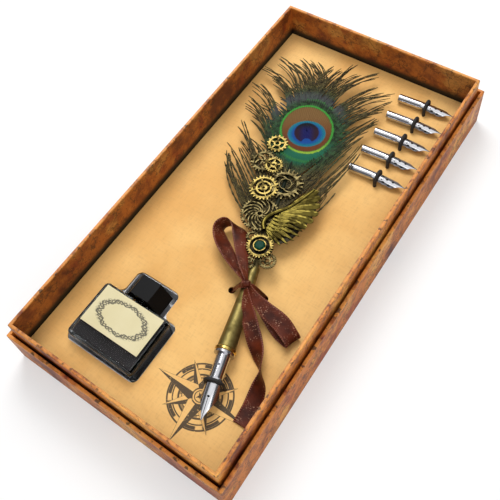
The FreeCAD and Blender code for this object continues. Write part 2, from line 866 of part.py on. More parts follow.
def make_wing():
    shoulder = (-1.0, number_of(sizes.barrel_length + sizes.wing_at))
    reach = number_of(sizes.wing_reach)
    first_angle, last_angle = 59.0, -32.0
    shortest = 0.4 * reach
    feathers = 9
    thickness = number_of(sizes.wing_thickness)

    def spot(distance, angle):
        turn = math.radians(angle)
        return shoulder[0] + distance * math.cos(turn), shoulder[1] + distance * math.sin(turn)

    def fan(scale, low, height):
        points = [spot(0.1 * reach, 190), spot(0.18 * reach, 110), spot(0.55 * reach * scale, 72)]
        for index in range(feathers):
            share = index / (feathers - 1)
            angle = first_angle + (last_angle - first_angle) * share
            length = scale * (reach + (shortest - reach) * share ** 0.8)
            step = (first_angle - last_angle) / (feathers - 1)
            points.append(spot(length, angle))
            if index < feathers - 1:
                points.append(spot(0.86 * length, angle - 0.55 * step))
        points.append(spot(0.12 * reach, -10))
        return prism(points, low, height)

    base = number_of(upper_layer)
    long_feathers = fan(1.0, base, 0.6 * thickness)
    coverts = fan(0.62, base + 0.5 * thickness, 0.5 * thickness)
    code_on_pen("wing", long_feathers.fuse(coverts).removeSplitter())


def make_vane():
    start = number_of(sizes.barrel_length + sizes.vane_start)
    end = number_of(sizes.barrel_length + sizes.vane_reach)
    half_width = number_of(sizes.vane_half_width)
    low = number_of(vane_low)
    locks = 15
    notch = 0.9
    widest = 0.25

    def edge_point(turn, scale):
        # the fan opens in a curve, stays wide and closes in a blunt crown
        share = (1 - math.cos(math.pi * turn)) / 2
        if share < widest:
            opening = math.sin(math.pi / 2 * share / widest)
        else:
            opening = (1 - ((share - widest) / (1 - widest)) ** 5) ** 0.2
        return scale * half_width * opening, start + (end - start) * share

    right = []
    for index in range(locks):
        turn = (index + 1) / (locks + 0.6)
        right.append(edge_point(turn, 1.0))
        right.append(edge_point(turn + 0.45 / locks, notch))
    left = [(-x, y) for x, y in reversed(right)]
    plate = prism([(1.0, start)] + right + left + [(-1.0, start)], low, number_of(sizes.vane_thickness))
    gap = number_of(sizes.seat_gap)
    radius = number_of(sizes.quill_radius) + gap
    straight = number_of(sizes.barrel_length + sizes.quill_straight)
    tip = number_of(sizes.barrel_length + sizes.quill_length)
    tip_radius = number_of(sizes.quill_tip_radius) + gap
    up = Vector(0, 1, 0)
    cone = Part.makeCone(radius, tip_radius, tip - straight, Vector(0, straight, 0), up)
    rod = Part.makeCylinder(radius, straight, Vector(0, 0, 0), up)
    cap = Part.makeCylinder(tip_radius, gap, Vector(0, tip, 0), up)
    code_on_pen("feather_vane", plate.cut(cone).cut(rod).cut(cap))


strap_foot = knot_at - sizes.strap_width
knot_barrel_radius = barrel_top_radius + (sizes.barrel_length - strap_foot) * barrel_taper
strap_inner = knot_barrel_radius + sizes.rest_gap
strap_outer = strap_inner + sizes.strap_thickness
knot_low = strap_outer + sizes.seat_gap
knot_middle = knot_low + sizes.knot_height / 2


def make_strap():
    width = number_of(sizes.strap_width)
    half_thickness = number_of(sizes.strap_thickness) / 2
    reach = number_of(sizes.strap_reach)
    foot = -number_of(pen_axis_height + sizes.card_thickness)
    bend = -number_of(pen_axis_height - sizes.rest_gap)
    start = number_of(knot_at) - width / 2

    def tangent(across, height, radius):
        distance = math.hypot(across, height)
        angle = math.atan2(height, across) + math.acos(radius / distance)
        return Vector(radius * math.cos(angle), start, radius * math.sin(angle))

    def side_points(offset, radius):
        across = reach + offset
        low = Vector(across, start, foot)
        knee = Vector(across, start, bend)
        return low, knee, tangent(across, bend, radius)

    def mirrored(point):
        return Vector(-point.x, point.y, point.z)

    outer = number_of(strap_outer)
    inner = number_of(strap_inner)
    out_low, out_knee, out_touch = side_points(half_thickness, outer)
    in_low, in_knee, in_touch = side_points(-half_thickness, inner)
    edges = [
        Part.LineSegment(out_low, out_knee),
        Part.LineSegment(out_knee, out_touch),
        Part.Arc(out_touch, Vector(0, start, outer), mirrored(out_touch)),
        Part.LineSegment(mirrored(out_touch), mirrored(out_knee)),
        Part.LineSegment(mirrored(out_knee), mirrored(out_low)),
        Part.LineSegment(mirrored(out_low), mirrored(in_low)),
        Part.LineSegment(mirrored(in_low), mirrored(in_knee)),
        Part.LineSegment(mirrored(in_knee), mirrored(in_touch)),
        Part.Arc(mirrored(in_touch), Vector(0, start, inner), in_touch),
        Part.LineSegment(in_touch, in_knee),
        Part.LineSegment(in_knee, in_low),
        Part.LineSegment(in_low, out_low),
    ]
    wire = Part.Wire([edge.toShape() for edge in edges])
    code_on_pen("ribbon_strap", Part.Face(wire).extrude(Vector(0, width, 0)))


def make_knot():
    knot = primitive(
        "Ellipsoid", "bow_knot",
        Radius1=sizes.knot_height / 2, Radius2=sizes.knot_width / 2, Radius3=sizes.knot_length / 2,
    )
    place_on_pen(knot, 0, knot_at, knot_middle)
    register("ribbon_knot", knot)


def sloped(shape, angle, fall, rise):
    turn = Rotation(Vector(0, 0, 1), angle).multiply(Rotation(Vector(0, 1, 0), fall))
    beside_knot = Placement(Vector(0, number_of(knot_at), rise), turn)
    return shape.transformed(beside_knot.toMatrix(), True)


def teardrop(length, radius, start):
    centre = length - radius
    reach = centre - start
    angle = math.acos(radius / reach)
    touch = Vector(centre - radius * math.cos(angle), radius * math.sin(angle), 0)
    below = Vector(touch.x, -touch.y, 0)
    tip = Vector(start, 0, 0)
    edges = [
        Part.LineSegment(tip, below),
        Part.Arc(below, Vector(length, 0, 0), touch),
        Part.LineSegment(touch, tip),
    ]
    return Part.Face(Part.Wire([edge.toShape() for edge in edges]))


def make_bow():
    thickness = number_of(sizes.ribbon_thickness)
    width = number_of(sizes.ribbon_width)
    axis_height = number_of(pen_axis_height)
    clear = number_of(sizes.rest_gap)
    knot_side = number_of(sizes.knot_width / 2 + sizes.seat_gap)
    rise = number_of(knot_middle)
    end_height = -axis_height + 2 * clear

    length = number_of(sizes.loop_length)
    radius = number_of(sizes.loop_radius)
    band = 0.6 * width
    fall = math.degrees(math.atan2(rise - end_height, length))
    ring = teardrop(length, radius, knot_side).cut(
        teardrop(length - band, radius - band, knot_side + 3 * band)
    )
    code_on_pen("ribbon_loop", sloped(ring.extrude(Vector(0, 0, thickness)), 131, fall, rise))

    length = number_of(sizes.flat_loop_length)
    fall = math.degrees(math.atan2(rise - end_height, length))
    flat = teardrop(length, 0.65 * width, knot_side).extrude(Vector(0, 0, 3 * thickness))
    code_on_pen("ribbon_flat_loop", sloped(flat, -30, fall, rise))


def make_tail():
    thickness = number_of(sizes.ribbon_thickness)
    width = number_of(sizes.ribbon_width)
    floor_height = -number_of(pen_axis_height) + number_of(sizes.rest_gap)
    knot = number_of(knot_at)
    top = number_of(knot_low)
    reach = number_of(sizes.tail_reach)
    # centre of the tail: across, along, height, half width, heading in degrees
    stations = [
        (1.55, knot - 2.8, number_of(knot_middle) - thickness / 2, 0.15 * width, -60),
        (6.4, knot - 10.0, top - 0.9, 0.22 * width, -58),
        (11.5, knot - 17.5, top - 4.5, 0.38 * width, -56),
        (17.0, knot - 27.0, floor_height + 1.6, 0.45 * width, -62),
        (20.5, knot - 38.0, floor_height, 0.45 * width, -78),
        (21.5, knot - 55.0, floor_height, 0.45 * width, -92),
        (20.6, knot - 73.0, floor_height, 0.45 * width, -94),
    ]
    farthest = 25.0
    widen = (reach - 1.5) / farthest / 1.27
    wires = []
    for across, along, height, half, heading in stations:
        turn = math.radians(heading)
        side = Vector(-math.sin(turn), math.cos(turn), 0) * half
        centre = Vector(across * widen, along, height)
        up = Vector(0, 0, thickness)
        corners = [centre - side, centre + side, centre + side + up, centre - side + up]
        wires.append(Part.makePolygon(corners + corners[:1]))
    code_on_pen("ribbon_tail", Part.makeLoft(wires, True, True))


make_card()
make_blister()
make_bottle()
make_cap()
make_pen_core()
make_pen_nib()
make_spare_nibs()
make_elastics()
for gear_label, gear_sizes in gears.items():
    make_gear(gear_label, *gear_sizes)
make_gem()
make_wing()
make_vane()
make_strap()
make_knot()
make_bow()
make_tail()
doc.recompute()

# Every object is sound, and every cut takes something away, before anything is written
for item in doc.Objects:
    if "Invalid" in item.State or "Error" in item.State:
        raise RuntimeError(f"{item.Label} failed: {item.State}")
    if item.TypeId == "PartDesign::Pocket" and item.BaseFeature.Shape.Volume - item.Shape.Volume < 1e-4:
        raise RuntimeError(f"{item.Label} cuts nothing")
for label, item in pieces.items():
    if item.Shape.isNull() or not item.Shape.isValid() or not item.Shape.Solids:
        raise RuntimeError(f"{label} has no valid solid")

os.makedirs("parts", exist_ok=True)
for label, item in pieces.items():
    item.Shape.exportStep(f"parts/{label}.step")
print(f"{len(pieces)} pieces, {lid_width.number:.1f} x {lid_length.number:.1f} x {rim_top.number:.1f} mm")
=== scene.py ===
import math
import random

import bpy
from mathutils import Matrix, Vector


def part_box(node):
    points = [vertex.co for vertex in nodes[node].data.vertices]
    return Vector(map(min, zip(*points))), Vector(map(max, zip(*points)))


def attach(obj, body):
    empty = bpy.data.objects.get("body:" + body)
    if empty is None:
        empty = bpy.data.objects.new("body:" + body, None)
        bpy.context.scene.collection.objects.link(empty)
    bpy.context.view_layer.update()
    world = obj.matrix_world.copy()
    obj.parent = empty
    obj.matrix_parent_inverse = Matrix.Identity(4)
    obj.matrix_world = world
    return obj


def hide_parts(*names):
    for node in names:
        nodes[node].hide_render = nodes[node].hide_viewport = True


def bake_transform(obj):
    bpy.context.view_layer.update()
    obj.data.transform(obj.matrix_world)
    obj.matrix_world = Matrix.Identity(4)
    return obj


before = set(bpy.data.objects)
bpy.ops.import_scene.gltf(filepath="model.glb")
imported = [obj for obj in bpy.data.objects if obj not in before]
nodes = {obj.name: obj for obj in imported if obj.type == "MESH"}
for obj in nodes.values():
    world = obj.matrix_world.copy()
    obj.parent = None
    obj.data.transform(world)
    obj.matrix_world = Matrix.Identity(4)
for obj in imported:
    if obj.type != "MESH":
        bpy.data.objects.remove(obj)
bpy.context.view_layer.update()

mm = 0.001
perMetre = 1000.0  # mm in a metre, for sums in the materials
cardTop = 17.5  # height of the card above the floor, mm
spareCount = 5
spareTurn = math.radians(4)  # the spare nibs lie a little askew
print("frame loaded:", len(nodes), "nodes")

# the pen's own frame: across, along, up from the barrel's mouth
pen = {"mouth": (33.33, -87.17), "axisHeight": 23.95, "angle": math.radians(16.4), "barrelEnd": 53.6}


def onPen(across, along, up=0.0):
    c, s = math.cos(pen["angle"]), math.sin(pen["angle"])
    x = pen["mouth"][0] + across * c - along * s
    y = pen["mouth"][1] + across * s + along * c
    return Vector((x, y, pen["axisHeight"] + up)) * mm


# camera
shot = {
    "focalPixels": 739.17,
    "azimuth": 0.76569,
    "elevation": 0.95590,
    "distance": 499.6,
    "target": (-44.12, 22.97, 0.0),
    "roll": -0.18355,
    "centre": (230.0, 175.0),
    "imageSize": 500,
    "sensor": 36.0,
    "nearClip": 0.01,
}


def placeCamera(shot):
    az, el, roll = shot["azimuth"], shot["elevation"], shot["roll"]
    back = Vector((math.cos(el) * math.sin(az), -math.cos(el) * math.cos(az), math.sin(el)))
    right = Vector((math.cos(az), math.sin(az), 0))
    up = back.cross(right)
    rolledRight = math.cos(roll) * right + math.sin(roll) * up
    rolledUp = -math.sin(roll) * right + math.cos(roll) * up
    turn = Matrix((rolledRight, rolledUp, back)).transposed().to_4x4()
    spot = Vector(shot["target"]) + shot["distance"] * back
    data = bpy.data.cameras.new("camera")
    camera = bpy.data.objects.new("camera", data)
    bpy.context.scene.collection.objects.link(camera)
    camera.matrix_world = Matrix.Translation(spot * mm) @ turn
    data.sensor_width = shot["sensor"]
    data.lens = shot["sensor"] * shot["focalPixels"] / shot["imageSize"]
    half = shot["imageSize"] / 2
    data.shift_x = (half - shot["centre"][0]) / shot["imageSize"]
    data.shift_y = (shot["centre"][1] - half) / shot["imageSize"]
    data.clip_start = shot["nearClip"]
    bpy.context.scene.camera = camera


placeCamera(shot)


# small helpers for materials
def tone(code):  # a screen colour as linear light
    parts = [int(code[i:i + 2], 16) / 255 for i in (1, 3, 5)]
    return tuple(p / 12.92 if p <= 0.04045 else ((p + 0.055) / 1.055) ** 2.4 for p in parts) + (1.0,)


def join(value, socket):  # a plain value, or another node's output
    if isinstance(value, bpy.types.NodeSocket):
        socket.id_data.links.new(value, socket)
    else:
        socket.default_value = value


def feed(node, **values):  # the node's inputs by name, with _ for a space
    for key, value in values.items():
        join(value, node.inputs[key.replace("_", " ")])


def addNode(tree, kind, **settings):
    node = tree.nodes.new("ShaderNode" + kind)
    for key, value in settings.items():
        if hasattr(node, key):
            setattr(node, key, value)
        else:
            feed(node, **{key: value})
    return node


def calc(tree, operation, a, b=None):
    node = addNode(tree, "Math", operation=operation)
    for socket, value in zip(node.inputs, (a, b)):
        if value is not None:
            join(value, socket)
    return node.outputs[0]


def plus(tree, a, b):
    return calc(tree, "ADD", a, b)


def minus(tree, a, b):
    return calc(tree, "SUBTRACT", a, b)


def times(tree, a, b):
    return calc(tree, "MULTIPLY", a, b)


def most(tree, a, b):
    return calc(tree, "MAXIMUM", a, b)


def away(tree, a, b):  # how far apart two values are
    return calc(tree, "ABSOLUTE", minus(tree, a, b))


def blendTones(tree, share, a, b):
    node = addNode(tree, "Mix", data_type="RGBA")
    for socket, value in zip((node.inputs[0], node.inputs[6], node.inputs[7]), (share, a, b)):
        join(value, socket)
    return node.outputs[2]


def soften(tree, value, low, high):  # 0 below low, 1 above high
    node = addNode(tree, "MapRange", interpolation_type="SMOOTHSTEP", Value=value, From_Min=low, From_Max=high)
    return node.outputs[0]


def band(tree, value, middle, solid, edge):  # 1 near the middle value, 0 away from it
    return below(tree, away(tree, value, middle), solid, edge)


def below(tree, value, low, high):  # 1 below low, 0 above high
    return minus(tree, 1.0, soften(tree, value, low, high))


def noise(tree, vector, scale, detail=4.0, rough=0.55, stretch=None):
    if stretch:
        vector = addNode(tree, "Mapping", Scale=stretch, Vector=vector).outputs[0]
    node = addNode(tree, "TexNoise", Scale=scale, Detail=detail, Roughness=rough, Vector=vector)
    return node.outputs["Fac"]


def ellipse(tree, across, lengthwise, cx, cy, rx, ry):
    x = calc(tree, "DIVIDE", minus(tree, across, cx), rx)
    y = calc(tree, "DIVIDE", minus(tree, lengthwise, cy), ry)
    return calc(tree, "SQRT", plus(tree, times(tree, x, x), times(tree, y, y)))


def splitPlace(tree, vector):
    node = addNode(tree, "SeparateXYZ")
    join(vector, node.inputs[0])
    return node.outputs


def newPaint(name):
    paint = bpy.data.materials.new(name)
    paint.use_nodes = True
    tree = paint.node_tree
    shader = tree.nodes["Principled BSDF"]
    place = addNode(tree, "TexCoord")
    return paint, tree, shader, place.outputs["Object"]


def emboss(tree, shader, height, strength, depth):
    bump = addNode(tree, "Bump", Strength=strength, Distance=depth, Height=height)
    feed(shader, Normal=bump.outputs[0])


def penPlace(tree, vector, across=0.0, along=0.0):  # object place to across and along the pen, mm
    c, s = math.cos(-pen["angle"]), math.sin(-pen["angle"])
    mx, my = pen["mouth"]
    start = (-(mx * c - my * s) - across, -(mx * s + my * c) - along, 0)
    turn = addNode(tree, "Mapping", Scale=(perMetre, perMetre, perMetre), Rotation=(0, 0, -pen["angle"]),
                   Location=start, Vector=vector)
    split = splitPlace(tree, turn.outputs[0])
    return split[0], split[1], turn.outputs[0]


def newGroup(name, inputs, outputs):
    group = bpy.data.node_groups.new(name, "ShaderNodeTree")
    for way, sockets in (("INPUT", inputs), ("OUTPUT", outputs)):
        for socket, kind in sockets.items():
            group.interface.new_socket(socket, in_out=way, socket_type="NodeSocket" + kind)
    return group, group.nodes.new("NodeGroupInput").outputs, group.nodes.new("NodeGroupOutput")


# light, floor and world
studio = {
    "sky": [(0.0, 0.14), (0.25, 0.42), (0.45, 0.1), (0.74, 0.12), (0.86, 0.95), (1.0, 1.1)],  # height and light
    "lamps": {"key": {"power": 7.0, "size": 0.5, "place": (-0.36, 0.42, 0.84)},
              "fill": {"power": 2.7, "size": 0.8, "place": (0.5, -0.4, 0.6)}},
    "aim": (0, 0, 0.02),
    "floorSize": 6,
    "floorDrop": 0.0002,
    "floorTone": 0.9,
    "floorRough": 0.9,
    "floorGlow": 0.36,
    "glowStrength": 1.06,
}


def addLamp(name, look):
    data = bpy.data.lights.new(name, "AREA")
    data.energy = look["power"]
    data.size = look["size"]
    lamp = bpy.data.objects.new(name, data)
    bpy.context.scene.collection.objects.link(lamp)
    lamp.location = look["place"]
    aim = Vector(studio["aim"]) - Vector(look["place"])
    lamp.rotation_euler = aim.to_track_quat("-Z", "Y").to_euler()


def backgroundRays(tree):
    rays = addNode(tree, "LightPath").outputs
    return most(tree, rays["Is Camera Ray"], rays["Is Transmission Ray"])


def mixShaders(tree, share, one, two):
    mix = addNode(tree, "MixShader", Fac=share)
    join(one.outputs[0], mix.inputs[1])
    join(two.outputs[0], mix.inputs[2])
    return mix.outputs[0]


def buildSky(studio):
    world = bpy.data.worlds.new("studio")
    bpy.context.scene.world = world
    world.use_nodes = True
    tree = world.node_tree
    tree.nodes.clear()
    place = addNode(tree, "TexCoord")
    sky = addNode(tree, "ValToRGB", Fac=splitPlace(tree, place.outputs["Generated"])[2])
    ramp = sky.color_ramp.elements
    while len(ramp) < len(studio["sky"]):
        ramp.new(0.5)
    for element, (height, light) in zip(ramp, studio["sky"]):
        element.position = height
        element.color = (light, light, light, 1)
    plain = addNode(tree, "Background", Color=sky.outputs["Color"])
    white = addNode(tree, "Background", Color=(1, 1, 1, 1))
    addNode(tree, "OutputWorld", Surface=mixShaders(tree, backgroundRays(tree), plain, white))


def layFloor(studio):
    bpy.ops.object.select_all(action="DESELECT")
    bpy.ops.mesh.primitive_plane_add(size=studio["floorSize"], location=(0, 0, -studio["floorDrop"]))
    floor = bpy.context.object
    floor.name = "floor"
    paint, tree, shader = newPaint("floorPaint")[:3]
    grey = studio["floorTone"]
    feed(shader, Base_Color=(grey, grey, grey, 1), Roughness=studio["floorRough"])
    glow = addNode(tree, "Emission", Strength=studio["glowStrength"])
    share = times(tree, backgroundRays(tree), studio["floorGlow"])
    feed(tree.nodes["Material Output"], Surface=mixShaders(tree, share, shader, glow))
    floor.data.materials.append(paint)


bpy.context.scene.view_settings.view_transform = "Standard"
buildSky(studio)
for name, look in studio["lamps"].items():
    addLamp(name, look)
layFloor(studio)
print("camera and studio ready")


# shared effect: dark patina in blotches on old metal, with fine pits
def makePatina():
    group, given, end = newGroup("patina", {"Place": "Vector", "Scale": "Float"}, {"Stain": "Float", "Height": "Float"})
    clouds = []
    for detail, factor in ((5, 1.0), (3, 6.0)):
        clouds.append(noise(group, given["Place"], times(group, given["Scale"], factor), detail, 0.5))
    stain = soften(group, clouds[0], 0.42, 0.66)
    feed(end, Stain=stain, Height=plus(group, times(group, stain, 0.4), clouds[1]))
    return group


# shared effect: pressed paper fibres
def makeFibres():
    group, given, end = newGroup("fibres", {"Place": "Vector"}, {"Fibre": "Float", "Cloud": "Float"})
    one, two = (noise(group, given["Place"], 900.0, 3.0, 0.6, way) for way in ((1.0, 0.18, 1.0), (0.2, 1.0, 1.0)))
    feed(end, Fibre=times(group, plus(group, one, two), 0.5), Cloud=noise(group, given["Place"], 22.0, 4.0))
    return group


patina = makePatina()
fibres = makeFibres()


def useGroup(tree, group, vector, **values):
    return addNode(tree, "Group", node_tree=group, Place=vector, **values).outputs


metals = {
    "antiqueBrass": {"bright": "#8a7c4a", "stain": "#6c5f36", "rough": 0.5, "scale": 160.0, "shade": 0.0},
    "brightBrass": {"bright": "#d9bd6c", "stain": "#8a6c2e", "rough": 0.22, "scale": 220.0, "shade": 0.0},
    "charmGold": {"bright": "#726336", "stain": "#3a3117", "rough": 0.32, "scale": 330.0, "shade": 0.9},
    "charmDark": {"bright": "#5b5134", "stain": "#211b0f", "rough": 0.38, "scale": 330.0, "shade": 0.9},
    "goldWing": {"bright": "#635827", "stain": "#3b3315", "rough": 0.34, "scale": 200.0, "shade": 0.95},
    "polishedSteel": {"bright": "#c9c9cd", "stain": "#aeaeb4", "rough": 0.14, "scale": 60.0, "shade": 0.0},
    "blackenedAndShade": {"bright": "#26231c", "stain": "#12100b", "rough": 0.5, "scale": 200.0, "shade": 0.0},
}
sideShade = {"tone": "#171207", "slope": (0.35, 0.92)}  # painted shade on the steep sides of castings


def metalPaint(name):
    look = metals[name]
    paint, tree, shader, place = newPaint(name)
    wear = useGroup(tree, patina, place, Scale=look["scale"])
    feed(shader, Metallic=1.0)
    colour = blendTones(tree, wear["Stain"], tone(look["bright"]), tone(look["stain"]))
    if look["shade"]:  # painted shade: the steep sides are darkened, and the upward faces stay bright
        facing = addNode(tree, "TexCoord")
        upward = splitPlace(tree, facing.outputs["Normal"])[2]
        side = below(tree, upward, *sideShade["slope"])
        colour = blendTones(tree, times(tree, side, look["shade"]), colour, tone(sideShade["tone"]))
    feed(shader, Base_Color=colour, Roughness=plus(tree, times(tree, wear["Stain"], 0.15), look["rough"]))
    if look["rough"] > 0.2:
        emboss(tree, shader, wear["Height"], 0.05, 0.0001)
    return paint


# wrapped paper of the box: aged and blotched, with fine dark contour lines
wrap = {"outside": "#d07b28", "pale": "#e6a64c", "dark": "#76300f", "red": "#9c3414", "line": "#1e0b04",
        "rubbedHighlight": "#e89a45", "shadow": "#080300", "insideX": 70.5, "insideY": 143.3, "insideShadeValue": 0.68,
        "insideHue": 0.495, "shadeFoot": (0.009, 0.015), "shadeTop": (0.0195, 0.0255), "rimBand": (0.0006, 0.0016),
        "lidRim": 30.0, "trayRim": 42.0,
        "ground": (26.0, 6.0, 0.62),  # noise: scale, detail, roughness
        "blotches": [("red", (36.0, 5.0, 0.65), (0.53, 0.63), 0.75), ("dark", (170.0, 6.0, 0.72), (0.47, 0.6), 0.55)],
        "lines": [((48.0, 8.0, 0.6), (0.52, 0.004, 0.014), 0.65), ((110.0, 5.0), (0.47, 0.003, 0.012), 0.39)],
        "specks": ((420.0, 2.0, 0.5), (0.66, 0.72), 0.7), "worn": ((160.0, 5.0), (0.36, 0.55), 0.7),
        "nicks": ((240.0, 3.0), (0.58, 0.66), 0.8)}


def wrapPaint(name, inside, rimLevel):
    paint, tree, shader, place = newPaint(name)
    grain = useGroup(tree, fibres, place)
    ground = noise(tree, place, *wrap["ground"])
    colour = blendTones(tree, soften(tree, ground, 0.38, 0.5), tone(wrap["dark"]), tone(wrap["outside"]))
    colour = blendTones(tree, soften(tree, ground, 0.52, 0.62), colour, tone(wrap["pale"]))
    for key, cloud, edge, strength in wrap["blotches"]:
        blotch = soften(tree, noise(tree, place, *cloud), *edge)
        colour = blendTones(tree, times(tree, blotch, strength), colour, tone(wrap[key]))
    cloud, edge, strength = wrap["specks"]
    ink = times(tree, soften(tree, noise(tree, place, *cloud), *edge), strength)
    for cloud, edge, strength in wrap["lines"]:
        line = band(tree, noise(tree, place, *cloud), *edge)
        ink = most(tree, ink, times(tree, line, strength))
    colour = blendTones(tree, ink, colour, tone(wrap["line"]))
    split = splitPlace(tree, place)
    if inside:  # painted shade: the inner faces are darkened, with a slight hue shift, and a painted shadow darkens the inner walls just above the card
        nearX = calc(tree, "LESS_THAN", calc(tree, "ABSOLUTE", split[0]), wrap["insideX"] * mm)
        nearY = calc(tree, "LESS_THAN", calc(tree, "ABSOLUTE", split[1]), wrap["insideY"] * mm)
        within = times(tree, nearX, nearY)
        deep = addNode(tree, "HueSaturation", Value=wrap["insideShadeValue"], Hue=wrap["insideHue"], Color=colour)
        colour = blendTones(tree, within, colour, deep.outputs[0])
        shade = times(tree, below(tree, split[2], *wrap["shadeTop"]), soften(tree, split[2], *wrap["shadeFoot"]))
        colour = blendTones(tree, times(tree, shade, within), colour, tone(wrap["shadow"]))
    rim = band(tree, split[2], rimLevel * mm, *wrap["rimBand"])  # worn paper, partly a painted highlight, and dark nicks on the folded rim
    for key, (cloud, edge, strength) in (("rubbedHighlight", wrap["worn"]), ("line", wrap["nicks"])):
        patch = times(tree, rim, soften(tree, noise(tree, place, *cloud), *edge))
        colour = blendTones(tree, times(tree, patch, strength), colour, tone(wrap[key]))
    feed(shader, Base_Color=colour, Roughness=plus(tree, times(tree, grain["Fibre"], 0.2), 0.42))
    emboss(tree, shader, grain["Fibre"], 0.15, 0.0003)
    return paint


# kraft card with a printed compass rose
rose = {"x": 34.3, "y": -112.7, "points": 29.0, "halfPoints": 21.0, "waist": 0.23, "dashes": 8.0,
        "dashRings": [(16.8, 0.8, 1.0, 1.0), (11.1, 0.8, 0.9, 0.7)],  # radius, solid and soft half width, strength
        "rings": [(18.2, 0.45), (15.2, 0.35), (12.0, 0.5), (10.2, 0.25)],  # radius and half width
        "hub": (4.6, 4.8), "hubStar": (2.6, 0.9), "hubRings": [(3.1, 0.2, 0.35), (4.5, 0.3, 0.45)]}
card = {"dark": "#dfa85c", "pale": "#edbe74", "fibre": "#c08f52", "fleck": "#8a6234", "ink": "#211e1c",
        "inkStrength": 0.92, "rough": 0.75}


def starMask(tree, x, y, turn, tip, waist):
    # a four-pointed star: inside mask and the side of each point
    angle = plus(tree, calc(tree, "ARCTAN2", y, x), -turn)
    radius = calc(tree, "SQRT", plus(tree, times(tree, x, x), times(tree, y, y)))
    wrapped = addNode(tree, "Math", operation="WRAP")
    for socket, value in zip(wrapped.inputs, (angle, math.pi / 4, -math.pi / 4)):
        join(value, socket)
    fold = calc(tree, "ABSOLUTE", wrapped.outputs[0])
    run = times(tree, radius, calc(tree, "COSINE", fold))
    rise = times(tree, radius, calc(tree, "SINE", fold))
    slope = (tip - waist * math.cos(math.pi / 4)) / (waist * math.sin(math.pi / 4))
    edge = minus(tree, tip, plus(tree, run, times(tree, rise, slope)))
    side = calc(tree, "GREATER_THAN", wrapped.outputs[0], 0.0)
    return edge, side, radius


def rosePrint(tree, place):
    split = splitPlace(tree, place)
    x = minus(tree, times(tree, split[0], perMetre), rose["x"])
    y = minus(tree, times(tree, split[1], perMetre), rose["y"])
    ink = covered = 0.0
    for turn, tip in ((0.0, rose["points"]), (math.pi / 4, rose["halfPoints"])):
        edge, side, radius = starMask(tree, x, y, turn, tip, tip * rose["waist"])
        inside = soften(tree, edge, -0.15, 0.15)
        line = below(tree, calc(tree, "ABSOLUTE", edge), 0.35, 1.1)
        dark = most(tree, times(tree, inside, side), times(tree, line, inside))
        ink = most(tree, ink, times(tree, dark, minus(tree, 1.0, covered)))
        covered = most(tree, covered, inside)
    free = minus(tree, 1.0, covered)
    angle = calc(tree, "ARCTAN2", y, x)
    beat = soften(tree, calc(tree, "SINE", times(tree, angle, rose["dashes"])), -0.75, -0.45)
    rings = 0.0
    for middle, solid, edge, strength in rose["dashRings"]:
        dashed = times(tree, band(tree, radius, middle, solid, edge), beat)
        rings = most(tree, rings, times(tree, dashed, strength))
    for middle, half in rose["rings"]:
        rings = most(tree, rings, band(tree, radius, middle, half * 0.8, half * 1.3))
    ink = most(tree, ink, times(tree, rings, free))
    # the hub: a pale disc with rings and a small star
    ink = times(tree, ink, soften(tree, radius, *rose["hub"]))
    edge = starMask(tree, x, y, math.pi / 4, *rose["hubStar"])[0]
    hub = soften(tree, edge, -0.1, 0.1)
    for ring in rose["hubRings"]:
        hub = most(tree, hub, band(tree, radius, *ring))
    return most(tree, ink, hub)


def cardPaint():
    paint, tree, shader, place = newPaint("kraftCard")
    grain = useGroup(tree, fibres, place)
    colour = blendTones(tree, soften(tree, grain["Cloud"], 0.3, 0.7), tone(card["dark"]), tone(card["pale"]))
    strands = times(tree, soften(tree, grain["Fibre"], 0.45, 0.7), 0.3)
    colour = blendTones(tree, strands, colour, tone(card["fibre"]))
    flecks = soften(tree, noise(tree, place, 1500.0, 2.0), 0.7, 0.78)
    colour = blendTones(tree, times(tree, flecks, 0.4), colour, tone(card["fleck"]))
    inked = times(tree, rosePrint(tree, place), card["inkStrength"])
    worn = soften(tree, noise(tree, place, 700.0, 3.0), 0.2, 0.4)
    colour = blendTones(tree, times(tree, inked, worn), colour, tone(card["ink"]))
    feed(shader, Base_Color=colour, Roughness=card["rough"])
    emboss(tree, shader, grain["Fibre"], 0.2, 0.0002)
    return paint


# label: cream paper with an oval wreath of scrolls
label = {"across": 15.5, "along": 8.6, "curls": 18,
         "stems": [(0.0, 0.085, 1), (math.pi, 0.085, 1), (1.2, 0.13, 0.5)],  # phase, swing, share of the curls
         "weight": (0.018, 0.035),
         "paper": "#ddd3ab", "aged": "#ccbf8e", "ink": "#1d1a12", "rough": 0.55}


def labelPaint():
    paint, tree, shader, place = newPaint("labelPaper")
    low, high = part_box("bottle_label")
    split = splitPlace(tree, place)
    x = times(tree, minus(tree, split[0], (high.x + low.x) / 2), perMetre)
    y = times(tree, minus(tree, split[1], (high.y + low.y) / 2), perMetre)
    oval = ellipse(tree, x, y, 0.0, 0.0, label["across"], label["along"])
    turn = calc(tree, "ARCTAN2", calc(tree, "DIVIDE", y, label["along"]), calc(tree, "DIVIDE", x, label["across"]))
    thin, swell = label["weight"]
    ink = 0.0
    for phase, size, beats in label["stems"]:
        swing = calc(tree, "SINE", plus(tree, times(tree, turn, label["curls"] * beats), phase))
        stem = away(tree, minus(tree, oval, 1.0), times(tree, swing, size))
        weight = plus(tree, thin, times(tree, noise(tree, place, 260.0, 2.0), swell))
        line = below(tree, calc(tree, "DIVIDE", stem, weight), 0.7, 1.2)
        ink = most(tree, ink, line)
    leaf = band(tree, noise(tree, place, 900.0, 2.0), 0.5, 0.02, 0.05)
    ink = most(tree, ink, times(tree, leaf, band(tree, oval, 1.03, 0.08, 0.2)))
    aged = blendTones(tree, noise(tree, place, 60.0, 4.0), tone(label["paper"]), tone(label["aged"]))
    colour = blendTones(tree, times(tree, ink, 0.85), aged, tone(label["ink"]))
    feed(shader, Base_Color=colour, Roughness=label["rough"])
    grain = useGroup(tree, fibres, place)
    emboss(tree, shader, grain["Fibre"], 0.08, 0.0002)
    return paint


